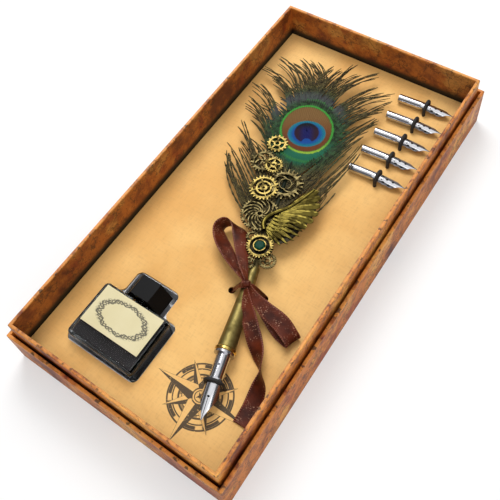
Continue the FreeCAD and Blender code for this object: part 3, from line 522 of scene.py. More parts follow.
# clear and glossy finishes
glass = {"cool": "#f2f6f4", "clear": "#fbfdfc", "index": 1.38, "gleam": 0.05}
film = {"tone": "#dfe1e5", "rough": 0.08, "alpha": 0.62}
gloss = {
    # the ink's grey tone is a painted reflection: it stands in for the glass's reflection, which is nearly switched off
    "ink": {"paint": "blackInk", "tones": ("#312e30", "#3a3739"), "rough": 0.8, "scale": 8.0, "specular": 0.0},
    "bottle_cap": {"paint": "capPlastic", "tones": ("#060607", "#0e0e10"), "rough": 0.4, "scale": 120.0,
                   "specular": 0.1},
    "cap_liner": {"paint": "linerFoam", "tones": ("#d6d4cf", "#e4e2dd"), "rough": 0.7, "scale": 200.0,
                  "specular": 0.5},
}
cord = {"dark": "#0b0b0b", "pale": "#2a2828", "braid": 700.0, "rough": 0.65}
horn = {"dark": "#3c3420", "pale": "#6b5f3c", "tip": "#141c10", "shadeFrom": 70.0, "shadeTo": 110.0,
        "rough": 0.55, "specular": 0.12}
gemLook = {"dark": "#03100b", "pale": "#14503a", "at": (-0.3, 12.1), "rough": 0.2, "specular": 0.04}


def glassPaint():
    paint, tree, shader, place = newPaint("bottleGlass")
    gleam = glass["gleam"]
    feed(shader, Transmission_Weight=1.0, Roughness=0.0, IOR=glass["index"], Specular_Tint=(gleam, gleam, gleam, 1))
    cloud = noise(tree, place, 40.0, 2.0)
    feed(shader, Base_Color=blendTones(tree, cloud, tone(glass["cool"]), tone(glass["clear"])))
    return paint


def filmPaint():
    paint, tree, shader, place = newPaint("clearFilm")
    wave = noise(tree, place, 90.0, 3.0)
    feed(shader, Base_Color=tone(film["tone"]), Roughness=plus(tree, times(tree, wave, 0.1), film["rough"]),
         Alpha=plus(tree, times(tree, wave, 0.3), film["alpha"]))
    emboss(tree, shader, wave, 0.3, 0.0005)
    return paint


def glossPaint(look):
    paint, tree, shader, place = newPaint(look["paint"])
    cloud = noise(tree, place, look["scale"], 4.0)
    shade, other = look["tones"]
    feed(shader, Base_Color=blendTones(tree, cloud, tone(shade), tone(other)), Specular_IOR_Level=look["specular"],
         Roughness=plus(tree, times(tree, cloud, 0.15), look["rough"]))
    emboss(tree, shader, noise(tree, place, look["scale"] * 12, 2.0), 0.06, 0.0002)
    return paint


def cordPaint():
    paint, tree, shader, place = newPaint("elasticCord")
    braid = addNode(tree, "TexWave", wave_type="BANDS", bands_direction="DIAGONAL", Scale=cord["braid"], Distortion=1.5,
                    Vector=place).outputs["Fac"]
    feed(shader, Base_Color=blendTones(tree, braid, tone(cord["dark"]), tone(cord["pale"])), Roughness=cord["rough"])
    emboss(tree, shader, braid, 0.4, 0.0002)
    return paint


def hornPaint():
    paint, tree, shader, place = newPaint("quillHorn")
    lengthwise, spot = penPlace(tree, place)[1:]
    streak = noise(tree, spot, 1.2, 3.0, 0.5, (3.0, 0.12, 3.0))
    colour = blendTones(tree, streak, tone(horn["dark"]), tone(horn["pale"]))
    # painted shade: the shaft darkens where it runs under the gears
    colour = blendTones(tree, soften(tree, lengthwise, horn["shadeFrom"], horn["shadeTo"]), colour, tone(horn["tip"]))
    feed(shader, Base_Color=colour, Roughness=horn["rough"], Specular_IOR_Level=horn["specular"])
    emboss(tree, shader, streak, 0.2, 0.0002)
    return paint


def gemPaint():
    paint, tree, shader, place = newPaint("greenGem")
    x, y = gemLook["at"]
    spot = penPlace(tree, place, x, pen["barrelEnd"] + y)[2]
    depth = noise(tree, spot, 0.8, 3.0)
    feed(shader, Base_Color=blendTones(tree, depth, tone(gemLook["dark"]), tone(gemLook["pale"])),
         Roughness=plus(tree, times(tree, depth, 0.1), gemLook["rough"]), Specular_IOR_Level=gemLook["specular"])
    return paint


paints = {name: metalPaint(name) for name in metals}


def dress(paint, *names):
    for name in names:
        piece = nodes[name]
        piece.data.materials.clear()
        piece.data.materials.append(paint)


dress(wrapPaint("wrapLid", False, wrap["lidRim"]), "lid")
dress(wrapPaint("wrapTray", True, wrap["trayRim"]), "tray")
dress(cardPaint(), "insert_card")
dress(filmPaint(), "bottle_blister")
dress(glassPaint(), "ink_bottle")
dress(labelPaint(), "bottle_label")
for name, look in gloss.items():
    dress(glossPaint(look), name)
dress(paints["antiqueBrass"], "pen_barrel")
dress(paints["brightBrass"], "barrel_collar")
dress(paints["polishedSteel"], "collar_washer", "pen_nib_tube")
dress(hornPaint(), "quill_shaft")
dress(paints["charmGold"], "gem_bezel")
dress(gemPaint(), "gem")
dress(paints["polishedSteel"], *[f"spare_nib_{k + 1}_tube" for k in range(spareCount)])
elastic = cordPaint()
print("carried-over pieces painted")


# crisp bevels catch light on the edges
edges = {"width": {"gem_bezel": 0.14, "bottle_cap": 0.5, "lid": 0.7, "tray": 0.7}, "weld": 0.01, "steps": 2,
         "angle": math.radians(40)}


def softenEdges(edges):
    for name, width in edges["width"].items():
        piece = nodes[name]
        weld = piece.modifiers.new("weld", "WELD")
        weld.merge_threshold = edges["weld"] * mm
        bevel = piece.modifiers.new("bevel", "BEVEL")
        bevel.width = width * mm
        bevel.segments = edges["steps"]
        bevel.limit_method = "ANGLE"
        bevel.angle_limit = edges["angle"]
        bevel.harden_normals = True


softenEdges(edges)


def finishMesh(name, points, faces, uvs=None):
    mesh = bpy.data.meshes.new(name)
    mesh.from_pydata([tuple(p) for p in points], [], faces)
    if uvs:
        layer = mesh.uv_layers.new(name="UVMap")
        for loop in mesh.loops:
            layer.data[loop.index].uv = uvs[loop.vertex_index]
    mesh.update()
    piece = bpy.data.objects.new(name, mesh)
    bpy.context.scene.collection.objects.link(piece)
    return piece


def applyAll(piece):
    bpy.ops.object.select_all(action="DESELECT")
    bpy.context.view_layer.objects.active = piece
    piece.select_set(True)
    for modifier in list(piece.modifiers):
        bpy.ops.object.modifier_apply(modifier=modifier.name)
    bpy.ops.object.shade_smooth()
    piece.select_set(False)


def thicken(piece, thickness, offset):
    solid = piece.modifiers.new("thickness", "SOLIDIFY")
    solid.thickness = thickness * mm
    solid.offset = offset
    applyAll(piece)


def tidyShell(piece, angle):
    # normals outward, smooth but for the edges sharper than the angle
    bpy.ops.object.select_all(action="DESELECT")
    bpy.context.view_layer.objects.active = piece
    piece.select_set(True)
    bpy.ops.object.mode_set(mode="EDIT")
    bpy.ops.mesh.select_all(action="SELECT")
    bpy.ops.mesh.normals_make_consistent(inside=False)
    bpy.ops.object.mode_set(mode="OBJECT")
    bpy.ops.object.shade_smooth_by_angle(angle=math.radians(angle))
    piece.select_set(False)


# feather: a dense eye on fanned, hair-like barbs
feather = {
    "seed": 7,
    "layers": [(120, 0.42, 0.66, 1.15), (84, 0.62, 0.88, 1.1), (120, 0.88, 1.03, 1.15)],  # barbs, reach, width
    "perLock": 5,
    "steps": 20,
    "fill": {-1: 0.14, 1: 0.03},  # barbs kept at the foot of the left and right vane
    "fillRise": 1.35,
    "pull": (0.25, 0.8),  # how far a barb leans to its lock
    "leave": (18, -32, 6),  # degrees off the straight way at the root: low barbs, change to the top, by lock
    "curlOut": {-1: 0.42, 1: 0.16},  # hook of the high barbs, as a share of their length
    "curl": 0.13,
    "stray": 0.05,
    "trim": (0.92, 1.03),
    "breadth": (0.75, 1.2),
    "taper": 0.42,
    "fringe": 0.3,
    "hump": 0.25,
    "swing": (0.2, 0.9),
    "lift": (-0.3, 0.9),
    "low": 0.3,
    "leftTips": [(-18, 100), (-28, 108), (-38, 115), (-44, 123), (-46, 130), (-48, 139), (-46, 153), (-46, 168),
                 (-46, 182), (-43, 196), (-38, 206), (-31, 214), (-24, 218), (-14, 222), (-3, 220)],
    "rightTips": [(18, 104), (30, 113), (39, 123), (36, 131), (34, 138), (40, 146), (38, 154), (40, 161), (43, 171),
                  (46, 179), (47, 187), (51, 195), (50, 203), (43, 210), (34, 216), (22, 221), (11, 218), (3, 221)],
    "roots": [68, 72, 77, 84, 96, 114, 130, 144, 158, 168],
    "eye": (2.1, 157.0),
    "eyeTurn": math.radians(14.8),
    "eyeReach": (24.5, 38.0, 34.0),  # half width, length up and down
    "eyeRings": 16,
    "eyeSpokes": 300,
    "eyeShort": (0.78, 1.0),  # reach of the rim's barbs: two short ones to each long one
    "eyeLong": (1.0, 1.2),
    "eyeTop": 1.75,
    "eyeFall": 1.4,
    "bronze": (2.1, 159.0),
    "bronzeRadii": (16.9, 19.4),
    "blue": (0.0, -4.1, 12.4, 10.7),  # middle and radii in the eye's own frame
    "heart": (0.0, -3.2, 8.2, 8.2),
    "lineRoot": (2.0, 112.0),
    "lines": 300.0,
}
barbTones = {"dark": "#100d05", "olive": "#41381c", "fleck": "#94824a", "moss": "#0c2413", "green": "#1f4a2b",
             "violet": "#4d4853", "edge": "#120e05", "rough": 0.5, "specular": 0.15}
eyeTones = {"skirt": "#1d664c", "halo": "#3b8236", "rust": "#653414", "bronze": "#70522b", "ring": "#3a9233",
            "lime": "#93b432", "blue": "#08428a", "teal": "#0c6d7c", "indigo": "#090e50", "plum": "#250d20",
            "night": "#04030e", "line": "#0d0b06", "rough": 0.55, "specular": 0.12}


def along(points, share):
    spot = min(max(share, 0.0), 1.0) * (len(points) - 1)
    i = min(int(spot), len(points) - 2)
    f = spot - i
    if isinstance(points[0], tuple):
        return tuple(a + (b - a) * f for a, b in zip(points[i], points[i + 1]))
    return points[i] + (points[i + 1] - points[i]) * f


def beside(spot, across, half, offset):
    return [a + b * half * offset for a, b in zip(spot, across)]


def smoothPath(path, per):
    rows = []
    for i in range(len(path) - 1):
        four = [path[max(i - 1, 0)], path[i], path[i + 1], path[min(i + 2, len(path) - 1)]]
        for k in range(per + (i == len(path) - 2)):
            f = k / per
            weights = (-0.5 * f ** 3 + f ** 2 - 0.5 * f, 1.5 * f ** 3 - 2.5 * f ** 2 + 1,
                       -1.5 * f ** 3 + 2 * f ** 2 + 0.5 * f, 0.5 * f ** 3 - 0.5 * f ** 2)
            spot = sum((Vector(p[0]) * w for p, w in zip(four, weights)), Vector())
            side = sum((Vector(p[1]).normalized() * w for p, w in zip(four, weights)), Vector()).normalized()
            half = sum(p[2] * w for p, w in zip(four, weights))
            rows.append((spot, side, half))
    return rows


def eyeRing(spot):  # 1 on the rim of the eye's bronze
    c, s = math.cos(feather["eyeTurn"]), math.sin(feather["eyeTurn"])
    a, b = spot.x - feather["bronze"][0], spot.y - feather["bronze"][1]
    wide, tall = feather["bronzeRadii"]
    return math.hypot((a * c + b * s) / wide, (b * c - a * s) / tall)


def growBarbs(feather):
    chance = random.Random(feather["seed"])
    points, faces, uvs = [], [], []
    steps = feather["steps"]
    for side, tips in ((-1, feather["leftTips"]), (1, feather["rightTips"])):
        for count, near, far, width in feather["layers"]:
            locks = count // feather["perLock"]
            lean = [chance.uniform(-1, 1) for _ in range(locks + 1)]
            reach = [chance.uniform(near, far) for _ in range(locks + 1)]
            curl = [chance.uniform(-1.0, 1.0) for _ in range(locks + 1)]
            for n in range(count):
                share = ((n + chance.random()) / count) ** 0.85
                lock = int(share * locks)
                if chance.random() > feather["fill"][side] + share * feather["fillRise"]:  # the lower vane is thin
                    continue
                tip, gather = along(tips, share), along(tips, (lock + 0.5) / locks)
                pull = chance.uniform(*feather["pull"])
                tip = Vector(a + (b - a) * pull for a, b in zip(tip, gather))
                start = Vector((side * 0.5, along(feather["roots"], share)))
                end = start + (tip - start) * reach[lock] * chance.uniform(*feather["trim"])
                length = (end - start).length
                ahead = (end - start).normalized()
                # low barbs leave wide and sweep up, high ones rise along the shaft and curl out
                aim = math.atan2(side * (end.x - start.x), end.y - start.y)
                wide, narrow, vary = feather["leave"]
                leave = aim + math.radians(wide + narrow * share + vary * lean[lock])
                bend = start + Vector((side * math.sin(leave), math.cos(leave))) * length * 0.5
                high = min(max((share - 0.35) / 0.3, 0.0), 1.0)
                turnOut = high * feather["curlOut"][side] + feather["curl"] * curl[lock]
                turnOut += chance.uniform(-feather["stray"], feather["stray"])
                hook = Vector((ahead.y, -ahead.x)) * side * length * turnOut
                stop = end - hook
                rise, lift = chance.random(), chance.uniform(*feather["lift"])
                broad = width * chance.uniform(*feather["breadth"])
                wave, swing = chance.uniform(0, 6.3), chance.uniform(*feather["swing"])
                base = len(points)
                for k in range(steps + 1):
                    f = k / steps
                    spot = start * (1 - f) ** 2 + bend * 2 * f * (1 - f) + stop * f * f + hook * f ** 4
                    heading = (bend - start) * (1 - f) + (stop - bend) * f + hook * 2 * f ** 3
                    across = Vector((heading.y, -heading.x)).normalized()
                    spot = spot + across * swing * math.sin(wave + 5 * f) * f
                    fringe = 1 + (feather["fringe"] if k % 2 else -feather["fringe"]) * min(f * 3, 1.0)
                    half = broad * 0.5 * (1.0 - feather["taper"] * f * f) * fringe
                    up = feather["low"] + rise * 0.4 + (0.6 + lift) * min(max(f - 0.3, 0) / 0.5, 1.0)
                    up = min(up, 0.3 + 1.6 * max(eyeRing(spot) - 0.9, 0.0))
                    for offset, hump in ((-1, 0), (0, feather["hump"]), (1, 0)):
                        points.append(onPen(*beside(spot, across, half, offset), up + hump))
                        uvs.append((offset * 0.5 + 0.5, f))
                for k in range(steps):
                    for j in range(2):
                        a = base + k * 3 + j
                        faces.append((a, a + 1, a + 4, a + 3))
    return finishMesh("featherBarbs", points, faces, uvs)


def growEye(feather):
    # a teardrop of close barbs whose rim ends in fine points
    chance = random.Random(feather["seed"] + 1)
    cx, cy = feather["eye"]
    wide, tall, deep = feather["eyeReach"]
    rings, spokes = feather["eyeRings"], feather["eyeSpokes"]
    points, faces, uvs = [], [], []
    ragged = [chance.uniform(*feather["eyeShort" if j % 3 else "eyeLong"]) for j in range(spokes)]
    for i in range(rings + 1):
        f = i / rings
        for j in range(spokes):
            turn = 2 * math.pi * j / spokes
            fray = 1 + (ragged[j] - 1) * max(f - 0.6, 0) / 0.4
            s, c = math.sin(turn), math.cos(turn)
            reachX = wide * (1 - (0.42 if s > 0 else 0.5) * s * s)
            reachY = tall if s > 0 else deep
            up = feather["eyeTop"] - feather["eyeFall"] * max(f - 0.45, 0) ** 1.5 / 0.41 + 0.05 * (j % 2)
            points.append(onPen(cx + reachX * c * f * fray, cy + reachY * s * f * fray, up))
            uvs.append((j / spokes, f))
    for i in range(rings):
        for j in range(spokes):
            a, b = i * spokes + j, i * spokes + (j + 1) % spokes
            faces.append((a, b, b + spokes, a + spokes))
    return finishMesh("featherEye", points, faces, uvs)


def eyePlace(tree, across, lengthwise):
    # the eye's own frame, turned against the shaft, mm from its middle
    c, s = math.cos(feather["eyeTurn"]), math.sin(feather["eyeTurn"])
    a = minus(tree, across, feather["bronze"][0])
    b = minus(tree, lengthwise, feather["bronze"][1])
    x = plus(tree, times(tree, a, c), times(tree, b, s))
    y = minus(tree, times(tree, b, c), times(tree, a, s))
    return x, y


def barbTone(tree, spot, x, y):
    # olive and dark brown strands, green and violet round the eye
    streak = noise(tree, spot, 0.45, 4.0)
    strand = blendTones(tree, soften(tree, streak, 0.38, 0.62), tone(barbTones["dark"]), tone(barbTones["olive"]))
    fleck = soften(tree, noise(tree, spot, 1.6, 3.0, 0.6), 0.5, 0.6)
    strand = blendTones(tree, times(tree, fleck, 0.48), strand, tone(barbTones["fleck"]))
    ring = ellipse(tree, x, y, 0.0, 0.0, *feather["bronzeRadii"])
    green = below(tree, ring, 1.3, 2.1)
    mixed = blendTones(tree, soften(tree, streak, 0.4, 0.6), tone(barbTones["moss"]), tone(barbTones["green"]))
    colour = blendTones(tree, times(tree, green, 0.85), strand, mixed)
    violet = band(tree, ring, 1.45, 0.05, 0.3)
    violet = times(tree, times(tree, violet, soften(tree, y, 2.0, 18.0)), 0.5)
    return blendTones(tree, violet, colour, tone(barbTones["violet"])), ring


def barbPaint():
    paint, tree, shader, place = newPaint("featherStrands")
    across, lengthwise, spot = penPlace(tree, place)
    x, y = eyePlace(tree, across, lengthwise)
    colour = barbTone(tree, spot, x, y)[0]
    uv = addNode(tree, "UVMap").outputs[0]
    split = splitPlace(tree, uv)
    # painted shade: each strand darkens towards its two edges
    edge = away(tree, split[0], 0.5)
    colour = blendTones(tree, times(tree, soften(tree, edge, 0.25, 0.5), 0.8), colour, tone(barbTones["edge"]))
    feed(shader, Base_Color=colour, Roughness=barbTones["rough"], Specular_IOR_Level=barbTones["specular"])
    comb = addNode(tree, "TexWave", wave_type="BANDS", bands_direction="Y", Scale=60.0, Vector=uv)
    emboss(tree, shader, comb.outputs["Fac"], 0.25, 0.0002)
    return paint


def eyePaint():
    paint, tree, shader, place = newPaint("featherEyeSheen")
    across, lengthwise, spot = penPlace(tree, place)
    x, y = eyePlace(tree, across, lengthwise)
    colour, ring = barbTone(tree, spot, x, y)
    jitter = times(tree, minus(tree, noise(tree, spot, 1.6, 3.0), 0.5), 0.1)
    ring = plus(tree, ring, jitter)
    blue = plus(tree, ellipse(tree, x, y, *feather["blue"]), jitter)
    heart = plus(tree, ellipse(tree, x, y, *feather["heart"]), jitter)
    fromMiddle = calc(tree, "ABSOLUTE", x)
    notch = times(tree, below(tree, fromMiddle, 0.4, 3.6), below(tree, y, -10.5, -5.5))
    heart = plus(tree, heart, times(tree, notch, 0.75))
    lower = below(tree, y, -22.0, -7.0)
    colour = blendTones(tree, times(tree, lower, band(tree, ring, 1.2, 0.1, 0.45)), colour, tone(eyeTones["skirt"]))
    colour = blendTones(tree, times(tree, band(tree, ring, 1.33, 0.02, 0.08), 0.55), colour, tone(eyeTones["halo"]))
    bronze = blendTones(tree, soften(tree, y, -9.0, 12.0), tone(eyeTones["rust"]), tone(eyeTones["bronze"]))
    colour = blendTones(tree, below(tree, ring, 0.9, 1.0), colour, bronze)
    bright = blendTones(tree, lower, tone(eyeTones["ring"]), tone(eyeTones["lime"]))
    colour = blendTones(tree, times(tree, band(tree, ring, 1.0, 0.012, 0.06), 0.95), colour, bright)
    inBlue = blendTones(tree, soften(tree, blue, 0.66, 0.98), tone(eyeTones["blue"]), tone(eyeTones["teal"]))
    colour = blendTones(tree, below(tree, blue, 0.95, 1.03), colour, inBlue)
    inHeart = blendTones(tree, soften(tree, fromMiddle, 1.0, 6.0), tone(eyeTones["indigo"]), tone(eyeTones["plum"]))
    inHeart = blendTones(tree, soften(tree, y, -2.0, 4.0), inHeart, tone(eyeTones["night"]))
    colour = blendTones(tree, below(tree, heart, 0.92, 1.04), colour, inHeart)
    # fine barb lines run out from below the eye
    x, y = feather["lineRoot"]
    turn = calc(tree, "ARCTAN2", minus(tree, across, x), minus(tree, lengthwise, y))
    line = calc(tree, "SINE", times(tree, turn, feather["lines"]))
    outside = soften(tree, ring, 0.95, 1.3)
    depth = plus(tree, times(tree, outside, 0.55), 0.16)
    colour = blendTones(tree, times(tree, soften(tree, line, 0.0, 1.0), depth), colour, tone(eyeTones["line"]))
    feed(shader, Base_Color=colour, Roughness=eyeTones["rough"], Specular_IOR_Level=eyeTones["specular"])
    emboss(tree, shader, line, 0.3, 0.0002)
    return paint


barbs = growBarbs(feather)
barbs.data.materials.append(barbPaint())
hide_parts("feather_vane")
eye = growEye(feather)
eye.data.materials.append(eyePaint())
for piece in (barbs, eye):
    for polygon in piece.data.polygons:
        polygon.use_smooth = True
    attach(piece, "pen")
print("feather grown:", len(barbs.data.polygons), "barb faces")

# gear charms: rings, toothed rims, spokes and curled arms, each cast with a bevel
gears = {
    "gear_top": {"at": (-12.8, 88.9), "radius": 7.0, "floor": 25.45, "teeth": 16, "paint": "charmGold",
                 "rings": [(0.62, 0.86), (0.16, 0.36)], "spokes": 5, "spokeWidth": 1.1},
    "gear_arc": {"at": (-17.0, 73.0), "radius": 8.8, "floor": 26.05, "teeth": 22, "paint": "charmDark",
                 "rings": [(0.66, 0.84)], "arms": (5, 0.1, 0.66, 1.2, 1.1)},
    "gear_mid": {"at": (-9.7, 71.0), "radius": 6.2, "floor": 27.05, "teeth": 22, "paint": "charmGold",
                 "rings": [(0.66, 0.86), (0.14, 0.38)], "spokes": 5, "spokeWidth": 0.9},
    "gear_large": {"at": (1.2, 59.5), "radius": 11.5, "floor": 26.05, "teeth": 24, "paint": "charmDark",
                   "rings": [(0.6, 0.78), (0.3, 0.36)], "arms": (4, 0.32, 0.62, 0.8, 0.8)},
    "gear_target": {"at": (-10.7, 52.9), "radius": 9.4, "floor": 27.05, "teeth": 24, "paint": "charmGold",
                    "rings": [(0.7, 0.86), (0.4, 0.54), (0.08, 0.26)], "spokes": 4, "spokeWidth": 0.7},
    "gear_swirl": {"at": (-7.7, 34.8), "radius": 12.0, "floor": 26.05, "teeth": 40, "paint": "charmDark",
                   "rings": [(0.84, 0.93), (0.1, 0.2)], "arms": (13, 0.16, 0.88, 1.5, 0.85)},
    "gear_ring": {"at": (-7.0, 18.0), "radius": 4.0, "floor": 27.15, "teeth": 14, "paint": "charmDark",
                  "rings": [(0.5, 0.84)]},
    "gear_lower": {"at": (6.5, 4.8), "radius": 5.4, "floor": 27.15, "teeth": 26, "paint": "charmDark",
                   "rings": [(0.66, 0.88), (0.2, 0.42)], "spokes": 6, "spokeWidth": 0.8},
    "gear_filigree": {"at": (-3.6, 1.0), "radius": 4.0, "floor": 27.15, "teeth": 18, "paint": "charmDark",
                      "rings": [(0.6, 0.86)], "arms": (4, 0.05, 0.66, 1.4, 0.7)},
    "gear_gem": {"at": (-0.3, 12.1), "radius": 8.2, "floor": 28.2, "teeth": 28, "paint": "charmGold",
                 "rings": [(0.7, 0.88)], "plate": 0.72, "studs": 8, "thick": 1.75},
}
gearCast = {"thick": 0.95, "perTooth": 8, "toothSteps": 3, "ringSteps": 60, "ringBevel": 0.16, "beadSteps": 72,
            "beadBevel": 0.1, "beadRise": 0.16, "barBevel": 0.14, "armSteps": 10, "studSteps": 12, "studBevel": 0.12}


def castStrip(points, faces, rows, closed):
    # join rows of the same length into a skin, ring by ring
    base = len(points)
    count = len(rows[0])
    for row in rows:
        points.extend(row)
    last = len(rows) if closed else len(rows) - 1
    for i in range(last):
        for j in range(count):
            a, b = base + i * count + j, base + i * count + (j + 1) % count
            c, d = base + (i + 1) % len(rows) * count + j, base + (i + 1) % len(rows) * count + (j + 1) % count
            faces.append((a, b, d, c))
    if not closed:
        faces.append(tuple(base + j for j in range(count))[::-1])
        faces.append(tuple(base + last * count + j for j in range(count)))


def castRing(points, faces, centre, inner, outer, low, high, steps, bevel=gearCast["ringBevel"]):
    rows = []
    for i in range(steps):
        turn = 2 * math.pi * i / steps
        out = outer(i) if callable(outer) else outer
        section = ((inner, low), (inner, high - bevel), (inner + bevel, high),
                   (out - bevel, high), (out, high - bevel), (out, low))
        rows.append([onPen(centre[0] + r * math.cos(turn), centre[1] + r * math.sin(turn), z) for r, z in section])
    castStrip(points, faces, rows, True)


def castBar(points, faces, path, width, low, high, bevel=gearCast["barBevel"]):
    rows = []
    for i, spot in enumerate(path):
        before, after = path[max(i - 1, 0)], path[min(i + 1, len(path) - 1)]
        ahead = Vector((after[0] - before[0], after[1] - before[1])).normalized()
        side = Vector((-ahead.y, ahead.x)) * width / 2
        lean = 1 - bevel / (width / 2) * 0.9
        section = ((1, low), (1, high - bevel), (lean, high), (-lean, high), (-1, high - bevel), (-1, low))
        rows.append([onPen(spot[0] + side.x * k, spot[1] + side.y * k, z) for k, z in section])
    castStrip(points, faces, rows, False)


def castGear(name, gear):
    points, faces = [], []
    x, y = gear["at"][0], gear["at"][1] + pen["barrelEnd"]
    radius = gear["radius"]
    low = gear["floor"] - pen["axisHeight"]
    high = low + gear.get("thick", gearCast["thick"])
    rimIn, rimOut = gear["rings"][0]

    def around(distance, turn):
        return x + distance * math.cos(turn), y + distance * math.sin(turn)

    def toothed(i):
        return radius if i % gearCast["perTooth"] < gearCast["toothSteps"] else radius * rimOut

    castRing(points, faces, (x, y), radius * rimIn, toothed, low, high, gear["teeth"] * gearCast["perTooth"])
    castRing(points, faces, (x, y), radius * (rimIn + 0.03), radius * (rimOut - 0.05), low,
             high + gearCast["beadRise"], gearCast["beadSteps"], gearCast["beadBevel"])
    for inner, outer in gear["rings"][1:]:
        castRing(points, faces, (x, y), radius * inner, radius * outer, low, high, gearCast["ringSteps"])
    reach = radius * (rimIn + 0.04)
    core = radius * (gear["rings"][-1][1] - 0.04)
    for k in range(gear.get("spokes", 0)):
        turn = 2 * math.pi * (k + 0.3) / gear["spokes"]
        ends = [around(d, turn) for d in (core, (core + reach) / 2, reach)]
        castBar(points, faces, ends, gear["spokeWidth"], low + 0.05, high - 0.12)
    if "arms" in gear:
        count, start, stop, sweep, width = gear["arms"]
        for k in range(count):
            path = []
            for i in range(gearCast["armSteps"] + 1):
                f = i / gearCast["armSteps"]
                path.append(around(radius * (start + (stop - start) * f), 2 * math.pi * k / count + sweep * f))
            castBar(points, faces, path, width, low + 0.1, high - 0.1)
    rimFaces = len(faces)
    if "plate" in gear:  # a blackened plate with studs, inside the rim
        castRing(points, faces, (x, y), radius * 0.2, radius * gear["plate"], low, low + 0.6, gearCast["ringSteps"])
        for k in range(gear["studs"]):
            spot = around(radius * 0.6, 2 * math.pi * k / gear["studs"])
            castRing(points, faces, spot, 0.05, 0.42, low + 0.5, low + 1.0,
                     gearCast["studSteps"], gearCast["studBevel"])
    piece = finishMesh(name, points, faces)
    for polygon in piece.data.polygons:
        polygon.material_index = 1 if polygon.index >= rimFaces else 0
    tidyShell(piece, 30)
    piece.data.materials.append(paints[gear["paint"]])
    if "plate" in gear:
        piece.data.materials.append(paints["blackenedAndShade"])
    return piece


for node, gear in gears.items():
    piece = castGear(node.replace("gear_", "castGear_"), gear)
    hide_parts(node)
    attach(piece, "pen")
print("gears cast:", len(gears))

# wing charm: long flight feathers, rows of short pointed ones and a rounded arm, on a dark plate of painted shade that
# shows in the gaps between them
wing = {
    "base": 3.15,
    "arm": [(-1.4, 77.6, 3.0), (-3.2, 81.6, 3.1), (-2.2, 86.6, 2.9), (2.2, 91.4, 2.6), (9.2, 97.4, 2.3),
            (15.4, 105.4, 2.0), (20.0, 112.8, 1.6)],  # across, along, width
    "armSides": 10,
    "armRise": 1.1,
    "armFlat": 0.84,
    "section": [(-1, 0.0), (-1, 0.35), (-0.66, 0.85), (-0.12, 0.8), (0, 1.0), (0.12, 0.8), (0.66, 0.75),
                (1, 0.25), (1, 0.0)],  # a vaulted feather with a raised shaft
    "steps": 18,
    "flight": [((8.0, 95.6), (22.4, 112.6)), ((7.0, 94.2), (25.0, 108.6)), ((6.0, 92.8), (26.4, 102.8)),
               ((5.0, 91.4), (26.6, 96.8)), ((4.0, 90.0), (25.2, 91.0)), ((3.0, 88.6), (22.4, 86.0))],
    "flightWidth": 5.4,
    "flightThick": 0.9,
    "flightBow": -0.05,
    "points": [[(20.8, 82.6), (19.8, 78.8), (17.6, 75.2), (14.6, 72.0), (10.8, 70.0), (6.6, 70.6)],
               [(16.6, 86.6), (16.0, 83.0), (14.6, 79.4), (12.4, 76.2), (9.4, 74.0), (5.8, 73.8)],
               [(11.6, 88.6), (11.2, 85.6), (10.2, 82.6), (8.4, 80.0), (6.0, 78.0)]],
    "pointRows": [(3.4, 0.25), (3.0, 0.8), (2.6, 1.25)],  # width and height of each row
    "pointThick": 0.6,
    "pointBow": 0.03,
    "roots": [(2.2, 88.0), (-0.4, 79.0)],
    "shoulder": (6.0, 95.0),
    "plate": (-0.1, 0.25),  # foot and top of the dark plate of painted shade
    "plateReach": 0.9,
}


def wingFeather(points, faces, start, end, width, low, thick, pointed, bow):
    ahead = Vector((end[0] - start[0], end[1] - start[1]))
    across = Vector((ahead.y, -ahead.x)).normalized()
    rows = []
    for k in range(wing["steps"] + 1):
        f = 1 - (1 - k / wing["steps"]) ** 1.3
        rounded = math.sqrt(max(1 - (max(f - 0.8, 0) / 0.2) ** 2, 0.0)) * (0.36 + 0.64 * f)
        shape = (1 - f) ** 0.6 * (0.55 + 0.9 * f) if pointed else rounded
        half = width * 0.5 * max(shape, 0.02)
        spot = Vector(start) + ahead * f + across * bow * ahead.length * math.sin(math.pi * f)
        rows.append([onPen(*beside(spot, across, half, o), low + thick * z) for o, z in wing["section"]])
    castStrip(points, faces, rows, False)


